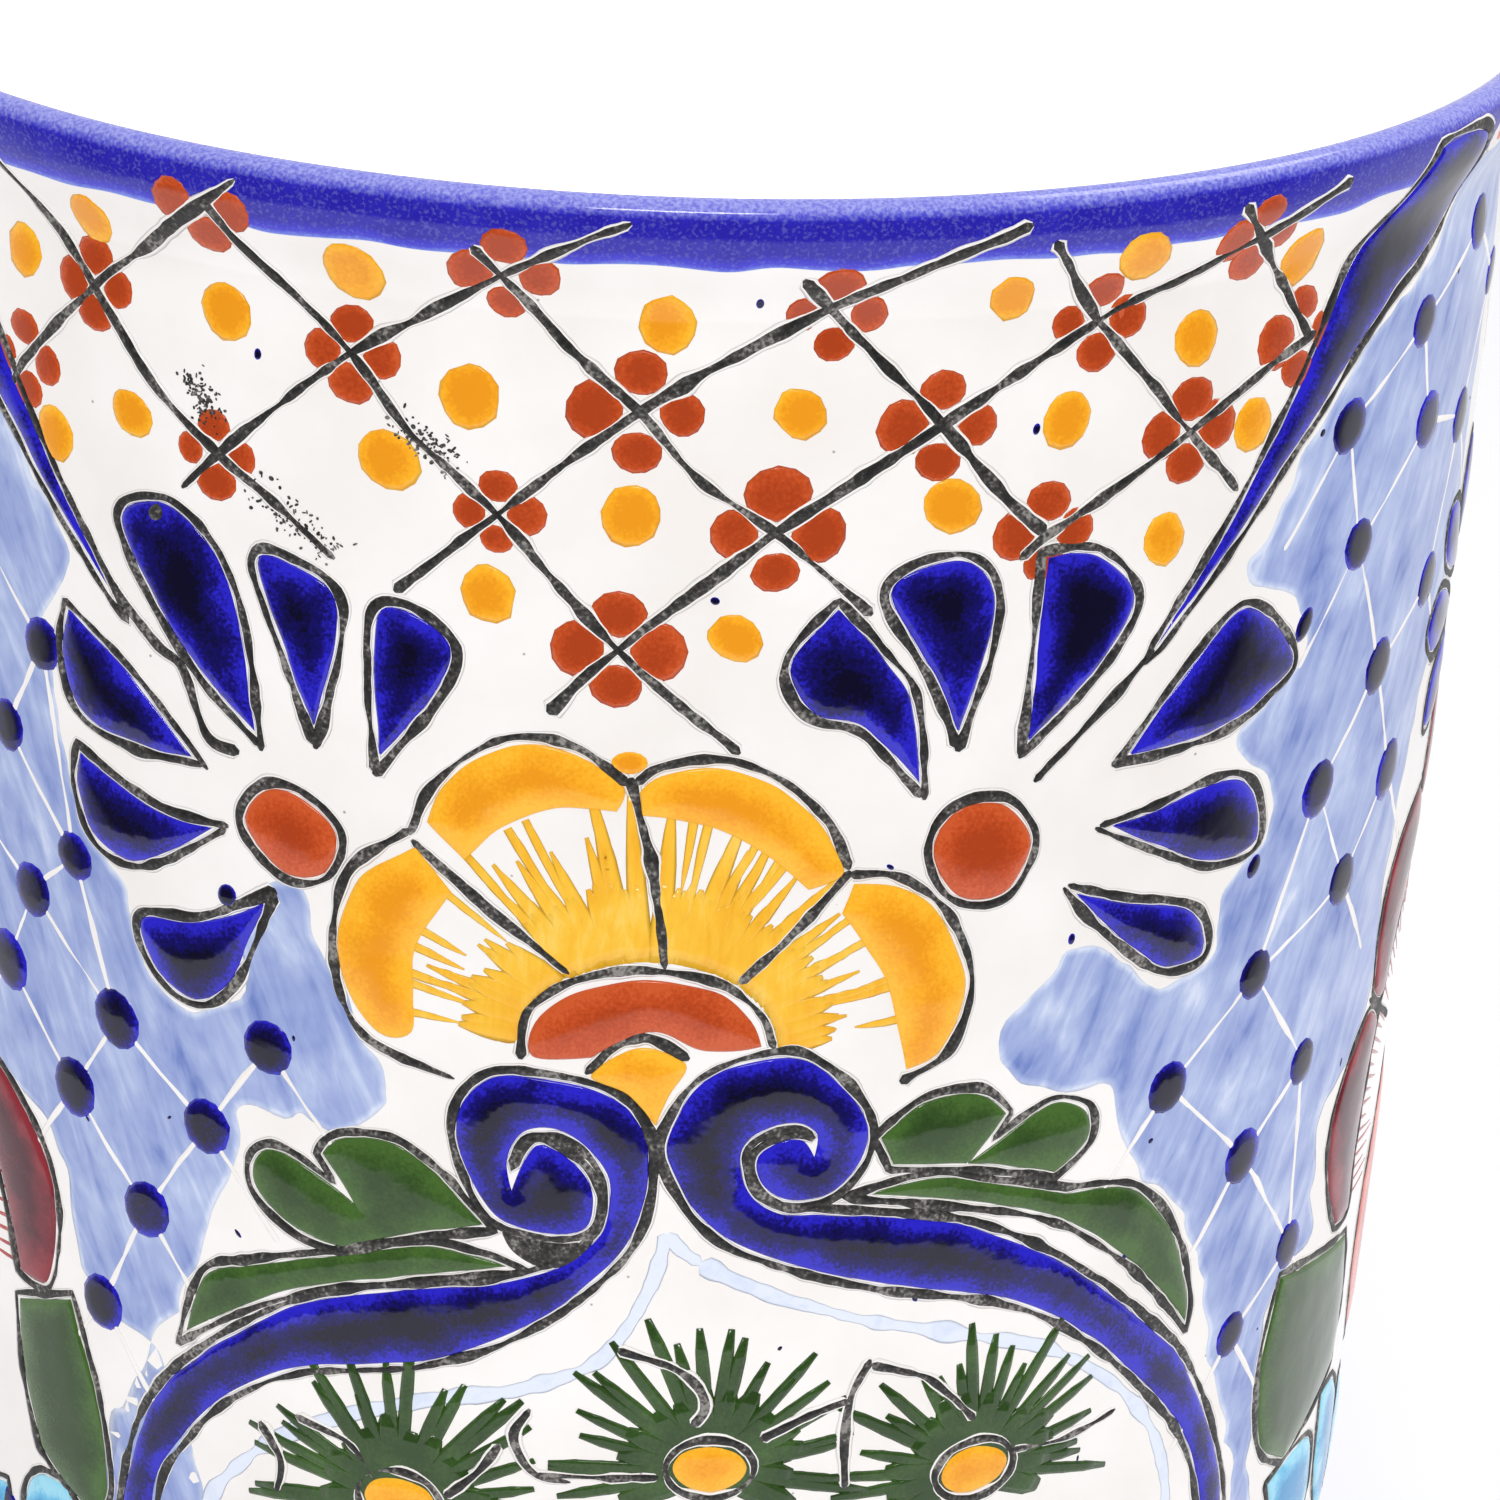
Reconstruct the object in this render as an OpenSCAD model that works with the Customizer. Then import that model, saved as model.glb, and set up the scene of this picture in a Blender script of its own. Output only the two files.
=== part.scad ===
// Talavera vase: an earthenware wall thrown in three sections, with a rolled collar, tin glazed inside and out,
// and painted with raised enamel fields in four panels.
// The vase stands on Z = 0, and its front panel faces -Y.

/* [Body] */
// Height from the foot to the lip
vase_h = 380; // [340:1:420]
// Diameter over the collar
rim_d = 298; // [290:1:310]
// Diameter of the straight wall, carried up to the height of the lip
wall_top_d = 287.7; // [284:0.1:290]
// How much the radius shrinks for each mm down the wall
taper = 0.0422; // [0.02:0.0001:0.06]
// Thickness of the wall with its glaze
wall_t = 9; // [8:0.5:10]
// Thickness of the floor with its glaze
floor_t = 12; // [10:0.5:14]

/* [Collar] */
// Radius of the rounded lip
lip_r = 2.8; // [2.4:0.1:3.2]
// Depth below the lip where the collar has run out into the wall
collar_h = 22; // [20:1:24]
// Depth of the soft groove under the collar
groove_t = 0.5; // [0.3:0.1:0.8]
// Depth below the lip where the groove has run out
groove_end = 33; // [30:1:36]
// Lower edge of the cobalt band round the lip
band_h = 11; // [9:0.5:12]

/* [Foot] */
// Diameter of the bare clay foot
foot_d = 224; // [210:1:230]
// Height of the bare clay edge under the glaze
foot_h = 4; // [3:0.5:6]
// Height of the rounded heel above the bare clay
heel_h = 30; // [24:1:36]

/* [Glaze and enamel] */
// Thickness of the tin glaze
glaze_t = 0.5; // [0.4:0.1:0.6]
// How far the enamel stands proud of the glaze
enamel_t = 0.5; // [0.4:0.1:0.7]

/* [Hidden] */
// Steps in a quarter turn of a rounded profile
ARC_STEPS = 6;
// Steps between two points of a drawn outline
DRAW_STEPS = 4;
// Radius at which the drawing's distances round the wall are measured
DRAW_R = 140;
// Lean of the side panels' centre line: mm round the wall for each mm down
LEAN = 0.16;
// Depth below the lip at which the lean is nothing
LEAN_FROM = 60;
// Facets of a turned wall, and of a small round dab
TURN_FN = 180;
DAB_FN = 24;
// Radius of the corner between the wall and the floor, inside
FILLET_R = 10;
// Radius that clears the whole vase
CLEAR_R = 200;

rim_r = rim_d / 2;
foot_r = foot_d / 2;
heel_top = vase_h - foot_h - heel_h;
heel_r = wall_top_d / 2 - taper * heel_top;
floor_z = foot_h + floor_t;

// ---- The wall's profile ----

// Radius of the straight wall at a depth below the lip
function wall_r(depth) = wall_top_d / 2 - taper * depth;

// 1 before the start, 0 past the end, and a smooth fall between
function blend(t) = (1 + cos(180 * min(max(t, 0), 1))) / 2;

// A smooth bump between 0 and 1
function hump(t) = t <= 0 || t >= 1 ? 0 : pow(sin(180 * t), 2);

// Radius of the glazed outside, with the collar and the groove under it
function outer_r(depth) =
  wall_r(depth)
  + (rim_r - wall_r(lip_r)) * blend((depth - lip_r) / (collar_h - lip_r))
  - groove_t * hump((depth - band_h) / (groove_end - band_h));

// Radius of the glazed inside, which flares out with the lip
function bore_r(depth) =
  wall_r(depth) - wall_t
  + (rim_r - 2 * lip_r - wall_r(lip_r) + wall_t) * blend((depth - lip_r) / (groove_end - lip_r));

// Points along an arc, a fixed number for each quarter turn
function arc(centre, r, from, to) =
  let (steps = ARC_STEPS * abs(to - from) / 90)
  [for (i = [0:steps]) let (a = from + (to - from) * i / steps) centre + r * [cos(a), sin(a)]];

COLLAR_DEPTHS = [for (depth = [lip_r + 2:2:groove_end - 1]) depth];

// Each line below is a list of [radius, height] points that runs down from the lip

LIP_LINE = concat(
  arc([rim_r - lip_r, vase_h - lip_r], lip_r, 180, 0),
  [for (depth = COLLAR_DEPTHS) if (depth < band_h - 0.5) [outer_r(depth), vase_h - depth]],
  [[outer_r(band_h), vase_h - band_h]]
);

WALL_LINE = concat(
  [for (depth = COLLAR_DEPTHS) if (depth > band_h + 0.5) [outer_r(depth), vase_h - depth]],
  [[outer_r(groove_end), vase_h - groove_end], [heel_r, foot_h + heel_h]]
);

HEEL_LINE = [
  for (i = [1:2 * ARC_STEPS]) let (a = 90 * i / (2 * ARC_STEPS))
    [foot_r + (heel_r - foot_r) * cos(a), foot_h + heel_h * (1 - sin(a))]
];

BORE_LINE = concat(
  [[rim_r - 2 * lip_r, vase_h - lip_r]],
  [for (depth = COLLAR_DEPTHS) [bore_r(depth), vase_h - depth]],
  [[bore_r(groove_end), vase_h - groove_end]],
  arc([bore_r(vase_h - floor_z - FILLET_R) - FILLET_R, floor_z + FILLET_R], FILLET_R, 0, -90),
  [[0, floor_z]]
);

SKIN_LINE = concat(LIP_LINE, WALL_LINE, HEEL_LINE);
LIP_LAST = len(LIP_LINE) - 1;
WALL_LAST = LIP_LAST + len(WALL_LINE);
SKIN_LAST = len(SKIN_LINE) - 1;

function unit(v) = v / norm(v);

// A line sunk into the clay by the thickness of the glaze; side is 1 outside, -1 inside
function sunk(line, side) = [
  for (i = [1:len(line) - 1])
    let (along = unit(line[min(i + 1, len(line) - 1)] - line[i - 1]))
      line[i] + side * glaze_t * [along[1], -along[0]]
];

CLAY_LIP = [[rim_r - 2 * lip_r + glaze_t, vase_h - lip_r]];
SKIN_CLAY = concat(CLAY_LIP, sunk(SKIN_LINE, 1));
BORE_CLAY = concat(CLAY_LIP, sunk(BORE_LINE, -1));

function stretch(line, first, last) = [for (i = [first:last]) line[i]];

function reversed(line) = [for (i = [len(line) - 1:-1:0]) line[i]];

module turned(line) {
  rotate_extrude($fn = TURN_FN)
    polygon(line);
}

// ---- Clay ----

coil_z = vase_h - collar_h;
clay_floor_h = floor_z - glaze_t;

// Heights at which the three thrown sections of the wall are luted together
LOWER_JOINT = 120;
UPPER_JOINT = 240;

module clay_shell() {
  turned(concat(
    SKIN_CLAY,
    [[foot_r, foot_h], [foot_r, clay_floor_h]],
    reversed(stretch(BORE_CLAY, 1, len(BORE_CLAY) - 2))
  ));
}

module clay_floor() {
  color("peru")
    cylinder(h = clay_floor_h, r = foot_r, $fn = TURN_FN);
}

// The part of the shell between two heights
module wall_section(from, to) {
  color("peru")
    intersection() {
      clay_shell();
      translate([0, 0, from]) cylinder(h = to - from, r = CLEAR_R, $fn = TURN_FN);
    }
}

module wall_lower() { wall_section(0, LOWER_JOINT); }

module wall_middle() { wall_section(LOWER_JOINT, UPPER_JOINT); }

module wall_upper() { wall_section(UPPER_JOINT, coil_z); }

module rim_coil() { wall_section(coil_z, vase_h); }

// ---- Tin glaze ----

// The skin between a stretch of a glazed surface and the clay under it
module glaze_skin(surface, clay, first, last) {
  turned(concat(stretch(surface, first, last), reversed(stretch(clay, first, last))));
}

module rim_glaze() { color("mediumblue") glaze_skin(SKIN_LINE, SKIN_CLAY, 0, LIP_LAST); }

module outer_glaze() { color("ivory") glaze_skin(SKIN_LINE, SKIN_CLAY, LIP_LAST, WALL_LAST); }

module heel_glaze() { color("mediumblue") glaze_skin(SKIN_LINE, SKIN_CLAY, WALL_LAST, SKIN_LAST); }

module inner_glaze() { color("ivory") glaze_skin(BORE_LINE, BORE_CLAY, 0, len(BORE_LINE) - 1); }

// ---- Enamel: how a field is drawn on the wall ----
// A point of the drawing is [mm round the wall, mm below the lip].
// A third number, 1, makes it a sharp corner; the outline is smooth through the others.

function is_corner(p) = len(p) > 2;

function flat(p) = [p[0], p[1]];

function bend(before, here, after) = is_corner(here) ? [0, 0] : (flat(after) - flat(before)) / 2;

function hermite(a, b, bend_a, bend_b, t) =
  (2 * t * t * t - 3 * t * t + 1) * a + (t * t * t - 2 * t * t + t) * bend_a
  + (3 * t * t - 2 * t * t * t) * b + (t * t * t - t * t) * bend_b;

// The closed outline through hand-placed points
function drawn(points) = [
  for (i = [0:len(points) - 1], k = [0:DRAW_STEPS - 1])
    let (
      n = len(points),
      before = points[(i + n - 1) % n],
      here = points[i],
      after = points[(i + 1) % n],
      beyond = points[(i + 2) % n]
    ) hermite(
      flat(here), flat(after), bend(before, here, after), bend(here, after, beyond), k / DRAW_STEPS
    )
];

function turn_of(along) = along * 180 / (PI * DRAW_R);

function extent(outlines, axis) = let (all = [for (o = outlines, p = o) p[axis]]) [min(all), max(all)];

// A prism straight out through the wall, with the outline's shape where it leaves the glaze
module field_prism(points) {
  across = extent([points], 0);
  centre = (across[0] + across[1]) / 2;
  half_turn = turn_of(across[1] - centre);
  near = outer_r(extent([points], 1)[1]) * cos(half_turn) - 3;
  shape = [for (p = drawn(points)) [outer_r(p[1]) * sin(turn_of(p[0] - centre)), vase_h - p[1]]];
  rotate([0, 0, turn_of(centre)])
    translate([0, -near, 0])
      rotate([90, 0, 0])
        linear_extrude(rim_r + 3 - near)
          polygon(shape);
}

// The skin of enamel from which the fields are cut
module enamel_skin(top, bottom) {
  depths = concat(
    [top],
    [for (depth = COLLAR_DEPTHS) if (depth > top && depth < bottom) depth],
    bottom > groove_end ? [max(top + 1, groove_end), bottom] : [bottom]
  );
  line = [for (depth = depths) [outer_r(depth), vase_h - depth]];
  turned(concat([for (p = line) p + [enamel_t, 0]], reversed(line)));
}

module fields(outlines) {
  span = extent(outlines, 1);
  intersection() {
    enamel_skin(span[0] - 1.5, span[1] + 1.5);
    union() {
      for (outline = outlines) field_prism(outline);
    }
  }
}

// Small round dabs, each [mm round the wall, mm below the lip]
module dabs(places, r) {
  span = extent([places], 1);
  intersection() {
    enamel_skin(max(span[0] - r - 1, lip_r), span[1] + r + 1);
    union() {
      for (p = places)
        rotate([0, 0, turn_of(p[0])])
          translate([0, -outer_r(p[1]) + 2, vase_h - p[1]])
            rotate([90, 0, 0])
              cylinder(h = 4, r = r, $fn = DAB_FN);
    }
  }
}

function mirrored(outlines, about) =
  [for (o = outlines) [for (p = o) is_corner(p) ? [2 * about - p[0], p[1], 1] : [2 * about - p[0], p[1]]]];

module on_back() { rotate([0, 0, 180]) children(); }

// ---- The front panel, which the back repeats ----

SUNFLOWER_PETALS = [
  [[-35.5, 109, 1], [-45, 116], [-48.5, 126], [-47, 136], [-41.5, 142.5], [-36.5, 141.5],
   [-36, 134], [-35.5, 126], [-30, 116, 1]],
  [[-34, 104.5, 1], [-31.5, 98], [-25, 92], [-17.5, 89.5], [-10, 91], [-3.5, 95.5],
   [-4.5, 100, 1], [-14, 100], [-22, 104], [-28, 110.5, 1]],
  [[-1, 96.5, 1], [2.5, 93.5], [11, 92], [20, 95.5], [27.5, 102.5], [31.5, 110.5],
   [26, 113, 1], [19, 107], [10, 102], [-0.5, 100.5, 1]],
  [[33, 112.5, 1], [40.5, 113.5], [47.5, 119], [52.5, 129], [52.5, 137], [49, 144], [44, 146, 1],
   [42, 138], [38, 127], [31.5, 117.5, 1]]
];

SUNFLOWER_RING = [
  [[-16.5, 143], [-15.5, 136], [-9, 131], [1.5, 128.5], [12, 130.5], [18, 135.5], [20, 140, 1],
   [11, 141], [2, 137.5], [-7, 142.5, 1]]
];

SUNFLOWER_HEART = [
  [[-7, 146], [-2.5, 141.5], [2, 140.5], [8, 143.5], [5.5, 149], [3.4, 154.5, 1], [-1, 149]]
];

FAN_PETALS = [
  [[-87, 64], [-78.5, 60], [-70.5, 65], [-65.5, 76], [-63, 94.5, 1], [-72, 87], [-81, 76]],
  [[-62, 66], [-56.5, 65], [-48.5, 71], [-52.5, 92, 1], [-57, 80]],
  [[-42, 71], [-36.5, 70], [-30.5, 75], [-33, 83], [-41.5, 95, 1], [-42.5, 84]],
  [[-99.5, 83, 1], [-101, 91], [-97.5, 99.5], [-87, 102], [-74.5, 101.5, 1], [-86.5, 90.5]],
  [[-98, 107, 1], [-99, 113], [-95.5, 121], [-88, 123], [-80, 119.5], [-71, 113, 1], [-83, 112.5]],
  [[-85.5, 133], [-83, 140.5], [-77, 144], [-71.5, 142.5], [-66.5, 136], [-61.5, 123.5, 1], [-73.5, 130]],
  [[28, 66, 1], [21.5, 74], [22.5, 80], [26, 83.5], [33.5, 86], [42.5, 96, 1], [40.5, 82], [35.5, 74.5]],
  [[36, 63.5], [46, 59], [52, 63.5], [52.5, 73], [48.5, 88, 1], [44, 78]],
  [[61, 60, 1], [70, 61], [77.5, 69], [74, 77.5], [67, 85], [60.5, 91, 1], [61, 75]],
  [[102, 76], [114.5, 87.5], [108.5, 92.5], [98, 96], [79.5, 96.5, 1], [91, 83]],
  [[77.5, 108.5, 1], [86, 107.5], [99.5, 105.5], [106.5, 107.5], [110.5, 114], [110, 119.5],
   [100, 119.5], [87, 113.5]],
  [[72, 119, 1], [83, 123], [95.5, 127], [100, 132], [100, 136.5], [92.5, 136.5], [85, 131.5],
   [77, 124.5]]
];

FAN_EYES = [
  [[-65, 110.5], [-61, 104], [-55, 104], [-49, 109], [-51, 116], [-58, 117.5]],
  [[46, 108], [49, 101.5], [57, 101], [62.5, 108], [59, 116.5], [50.5, 116]]
];

SCROLL_LEFT = [
  [[2.5, 160], [-0.5, 152], [-8, 148], [-21, 147], [-27, 151.5], [-28.5, 158.5], [-26, 166.5],
   [-22.2, 172.4], [-17.6, 174], [-11.7, 174.6], [-7, 173.2], [-5.9, 169], [-6.6, 165],
   [-9.2, 161.8], [-12.8, 159.4], [-15.6, 159], [-18, 162.6], [-19.6, 167.5, 1], [-20.4, 162],
   [-17.6, 156.8], [-12.4, 156], [-7.2, 158.8], [-3.9, 163.4], [-3.4, 168.8], [-4.6, 174.6],
   [-11, 180.4, 1],
   [-22, 185], [-40, 189], [-58, 196], [-76, 210], [-87, 223], [-93.5, 240], [-95, 256],
   [-88, 274, 1], [-87.5, 256], [-87, 239], [-80, 226.5], [-69.5, 215], [-55.5, 206.5],
   [-33, 200.5], [-18, 193], [-5.5, 182.5], [1, 173]]
];

SCROLL_RIGHT = [
  [[5.5, 160], [7, 152.5], [11, 146.5], [18, 143], [26, 142.5], [33.5, 148], [38, 155],
   [37.5, 161.5], [33.5, 166.8], [29, 168.2], [25, 167.8], [21.8, 165.6], [20.4, 162.8],
   [20.4, 160], [22.6, 158], [25.4, 157], [28, 157.6], [29.6, 160.4, 1], [29.9, 156.4],
   [26.6, 154.2], [21, 155.2], [17.6, 158.4], [18, 163.6], [20.4, 167.8], [24.8, 170.4],
   [30, 170.8, 1],
   [50, 174], [63, 179], [79, 189], [95.5, 203], [107.5, 215], [119, 234], [125, 250], [126, 264],
   [120, 282, 1], [119.5, 264], [118, 247], [111, 231], [99, 217], [83, 202], [65, 191],
   [39.5, 184], [22.5, 178], [12.5, 172]]
];

LEAF_LEFT = [
  [[-30, 168, 1], [-38.5, 162], [-48, 162.5], [-51.5, 166, 1], [-46, 174, 1], [-56, 168.5],
   [-61.5, 167.5], [-64.5, 171], [-63.5, 176], [-56.5, 181], [-48, 182.5, 1], [-36, 177.5],
   [-24, 174.5, 1]],
  [[-68, 191, 1], [-74.5, 194.5], [-79, 206.5, 1], [-64, 196], [-47, 188.5], [-20, 181.5, 1],
   [-33, 179.5], [-50, 184.5]]
];

LEAF_RIGHT = [
  [[40.5, 158, 1], [47.5, 152.5], [57, 152], [62.5, 156.5, 1], [57, 164.5, 1], [66.5, 158.5],
   [72.5, 156.5], [78.5, 159.5], [79, 165], [73, 169.5, 1], [60, 165.5], [43, 163, 1]],
  [[39, 168, 1], [50, 166.5], [62, 169.5], [76, 174, 1], [90.5, 177], [101, 188.5], [106.5, 201.5],
   [107, 207, 1], [91.5, 190.5], [73.5, 177.5], [54, 171]]
];

RIBBON_RIGHT = [
  [[131.5, 5, 1], [140, 4.5], [147.5, 6.5], [148.5, 14], [146.5, 20.5], [139.5, 25.5], [131, 29.5],
   [122, 36.5], [114.5, 44.5], [106, 53], [96, 64.5], [83, 78.5, 1], [90.5, 68], [99.5, 54.5],
   [106.5, 43], [113.5, 30], [119, 21], [126.5, 13.5]]
];

// The ribbons hang as a pair about a line a little left of the panel's centre
RIBBON_MIDDLE = -3;

// Where the black lattice lines cross, and the four dabs round each crossing
CROSSINGS = [
  [-107, 43], [-91, 27], [-68, 9], [-69, 49.5], [-46, 29.5], [-22.5, 13.5], [-23.5, 52], [-5, 73],
  [-3, 34.5], [18, 53.5], [25, 18.5], [42, 37], [60.5, 56], [66.5, 22.5], [85, 43], [92.5, 12],
  [107, 31.5]
];
DAB_OUT = 4.6;
DAB_R = 3;

// A drop in each gap of the lattice
DROPS = [
  [-106.5, 24.5], [-90.5, 15.5], [-85, 46], [-101, 53], [-67, 25.5], [-46, 15.5], [-41, 45],
  [-28, 33], [-25, 64.5], [-3.5, 50], [0.5, 19.5], [20, 33.5], [12, 70], [51, 16.5], [44, 49.5],
  [62.5, 37], [71, 11.5], [84.5, 27], [104.5, 17], [98, 43.5], [82, 59.5]
];
DROP_R = 3.9;

// The spiky plants: leaves fan out over the upper half round a heart
PLANTS = [[-38, 228], [15, 217.5], [62.5, 223], [-16, 262], [44, 264], [17, 292]];
HEART_HALF = [6.5, 4.5];
SPIKES = 14;
SPIKE_IN = 8.5;
SPIKE_OUT = 20;
SPIKE_W = 2.2;

function oval(centre, half) =
  [for (a = [0:45:315]) centre + [half[0] * cos(a), half[1] * sin(a)]];

function spike(centre, angle) = [
  for (p = [[SPIKE_IN, -SPIKE_W / 2], [SPIKE_OUT, 0], [SPIKE_IN, SPIKE_W / 2]])
    [centre[0] + p[0] * cos(angle) - p[1] * sin(angle), centre[1] + p[0] * sin(angle) + p[1] * cos(angle), 1]
];

module sunflower_petals() { color("orange") fields(SUNFLOWER_PETALS); }

module sunflower_ring() { color("chocolate") fields(SUNFLOWER_RING); }

module sunflower_heart() { color("orange") fields(SUNFLOWER_HEART); }

module fan_petals() { color("mediumblue") fields(FAN_PETALS); }

module fan_eyes() { color("chocolate") fields(FAN_EYES); }

module scroll_left() { color("mediumblue") fields(SCROLL_LEFT); }

module scroll_right() { color("mediumblue") fields(SCROLL_RIGHT); }

module leaf_left() { color("darkgreen") fields(LEAF_LEFT); }

module leaf_right() { color("darkgreen") fields(LEAF_RIGHT); }

module ribbon_left() { color("mediumblue") fields(mirrored(RIBBON_RIGHT, RIBBON_MIDDLE)); }

module ribbon_right() { color("mediumblue") fields(RIBBON_RIGHT); }

module lattice_dabs() {
  color("chocolate")
    dabs([
      for (c = CROSSINGS, out = [[0, -1], [1, 0], [0, 1], [-1, 0]])
        if (c[1] + DAB_OUT * out[1] > lip_r + DAB_R + 1) c + DAB_OUT * out
    ], DAB_R);
}

module lattice_drops() { color("orange") dabs(DROPS, DROP_R); }

module spiky_leaves() {
  color("darkgreen")
    fields([for (c = PLANTS, i = [0:SPIKES - 1]) spike(c, 180 + 180 * (i + 0.5) / SPIKES)]);
}

module spiky_hearts() { color("orange") fields([for (c = PLANTS) oval(c, HEART_HALF)]); }

// ---- The side panels, drawn from their own centre line and leaning with it ----

BLOOM_CENTRE = [0, 212];
BLOOM_HALF = [92, 98];
BLOOM_PETALS = 6;
// How deep the notch between two petals is, and how wide the coloured band of a petal is
BLOOM_NOTCH = 0.1;
BLOOM_BAND = 0.14;
BLOOM_GAP = 3;

function bloom_point(angle, scale) =
  BLOOM_CENTRE + scale * [-BLOOM_HALF[0] * cos(angle), -BLOOM_HALF[1] * sin(angle)];

// The coloured outer band of one petal: out along its rounded edge and back inside it
function bloom_petal(i) =
  let (
    from = 180 * i / BLOOM_PETALS + BLOOM_GAP / 2,
    sweep = 180 / BLOOM_PETALS - BLOOM_GAP
  ) concat(
    [for (t = [0:0.2:1])
      let (p = bloom_point(from + sweep * t, 1 - BLOOM_NOTCH * (1 - sin(180 * t))))
        t == 0 ? [p[0], p[1], 1] : p],
    [for (t = [1:-0.25:0])
      let (p = bloom_point(from + sweep * t, 1 - BLOOM_BAND - BLOOM_NOTCH * 0.4))
        t == 1 ? [p[0], p[1], 1] : p]
  );

BLOOM_BUD = [
  [[-58, 214], [-44, 199], [-24, 191], [0, 188], [24, 191], [44, 199], [58, 214], [60, 234],
   [50, 250], [28, 261], [0, 265], [-28, 261], [-50, 250], [-60, 234]]
];

BLOOM_LEAVES = [
  [[-107, 210, 1], [-91, 213], [-75, 216, 1], [-72, 230], [-76, 243, 1], [-88, 247], [-102, 251, 1],
   [-112, 243], [-113, 226]]
];

BLOOM_DROPS = [
  [[-108, 254, 1], [-96, 252.5], [-87, 255], [-86, 266], [-92, 276, 1], [-101, 272]],
  [[-81, 248, 1], [-72, 249], [-66, 256], [-66, 268], [-72, 280, 1], [-80, 268]],
  [[-59, 256, 1], [-50, 259], [-44, 266], [-44, 276], [-50, 287, 1], [-58, 273]]
];

FAN_ROOT = [-26, 103];
FAN_TURNS = [-35, 5, 45, 85];
FAN_L = [9, 31];
FAN_W = 11;

// One petal of a side fan: pointed at the root and round at its outer end
function fan_petal(turn) = [
  for (p = [[FAN_L[0], 0, 1], [16, -FAN_W / 3], [25, -FAN_W / 2], [FAN_L[1], 0], [25, FAN_W / 2],
            [16, FAN_W / 3]])
    let (
      q = FAN_ROOT + [-p[0] * cos(turn) - p[1] * sin(turn), -p[0] * sin(turn) + p[1] * cos(turn)]
    ) is_corner(p) ? [q[0], q[1], 1] : q
];

quarter = DRAW_R * PI / 2;

// A panel's outlines carried round the wall to its centre line
function carried(outlines, centre) = [
  for (o = outlines) [
    for (p = o)
      let (along = p[0] + centre + LEAN * (p[1] - LEAN_FROM))
        is_corner(p) ? [along, p[1], 1] : [along, p[1]]
  ]
];

module bloom(outlines, centre) { fields(carried(outlines, centre)); }

module both_halves(outlines, centre) { bloom(concat(outlines, mirrored(outlines, 0)), centre); }

module bloom_petals(centre) {
  color("brown") bloom([for (i = [0:BLOOM_PETALS - 1]) bloom_petal(i)], centre);
}

module bloom_bud(centre) { color("salmon") bloom(BLOOM_BUD, centre); }

module bloom_leaves(centre) { color("darkgreen") both_halves(BLOOM_LEAVES, centre); }

module bloom_drops(centre) { color("skyblue") both_halves(BLOOM_DROPS, centre); }

module bloom_fans(centre) {
  color("mediumblue") both_halves([for (turn = FAN_TURNS) fan_petal(turn)], centre);
}

// ---- The nodes ----

clay_floor();
wall_lower();
wall_middle();
wall_upper();
rim_coil();
outer_glaze();
inner_glaze();
rim_glaze();
heel_glaze();
sunflower_petals();  // sunflower_petals_front
sunflower_ring();  // sunflower_ring_front
sunflower_heart();  // sunflower_heart_front
fan_petals();  // fan_petals_front
fan_eyes();  // fan_eyes_front
scroll_left();  // scroll_left_front
scroll_right();  // scroll_right_front
leaf_left();  // leaf_left_front
leaf_right();  // leaf_right_front
lattice_dabs();  // lattice_dabs_front
lattice_drops();  // lattice_drops_front
spiky_leaves();  // spiky_leaves_front
spiky_hearts();  // spiky_hearts_front
ribbon_left();  // ribbon_left_front
ribbon_right();  // ribbon_right_front
on_back() sunflower_petals();  // sunflower_petals_back
on_back() sunflower_ring();  // sunflower_ring_back
on_back() sunflower_heart();  // sunflower_heart_back
on_back() fan_petals();  // fan_petals_back
on_back() fan_eyes();  // fan_eyes_back
on_back() scroll_left();  // scroll_left_back
on_back() scroll_right();  // scroll_right_back
on_back() leaf_left();  // leaf_left_back
on_back() leaf_right();  // leaf_right_back
on_back() lattice_dabs();  // lattice_dabs_back
on_back() lattice_drops();  // lattice_drops_back
on_back() spiky_leaves();  // spiky_leaves_back
on_back() spiky_hearts();  // spiky_hearts_back
on_back() ribbon_left();  // ribbon_left_back
on_back() ribbon_right();  // ribbon_right_back
bloom_petals(quarter);  // bloom_petals_right
bloom_bud(quarter);  // bloom_bud_right
bloom_leaves(quarter);  // bloom_leaves_right
bloom_drops(quarter);  // bloom_drops_right
bloom_fans(quarter);  // bloom_fans_right
bloom_petals(-quarter);  // bloom_petals_left
bloom_bud(-quarter);  // bloom_bud_left
bloom_leaves(-quarter);  // bloom_leaves_left
bloom_drops(-quarter);  // bloom_drops_left
bloom_fans(-quarter);  // bloom_fans_left
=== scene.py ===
# %% [markdown]
# # A talavera vase
# The real vase is thrown in red earthenware, dipped in a white tin glaze and painted by hand.
# The painter draws in black first. Glaze crawls back from the black, which leaves a white hairline
# beside each line. Colour is then laid between the lines, so thickly that it stands up.
# So this script works in the painter's order: the pot, the washes, the black lines, the enamels.

# %% Load the vase
import math

import bmesh
import bpy
import numpy as np
from mathutils import Matrix, Vector, geometry, noise


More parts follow.
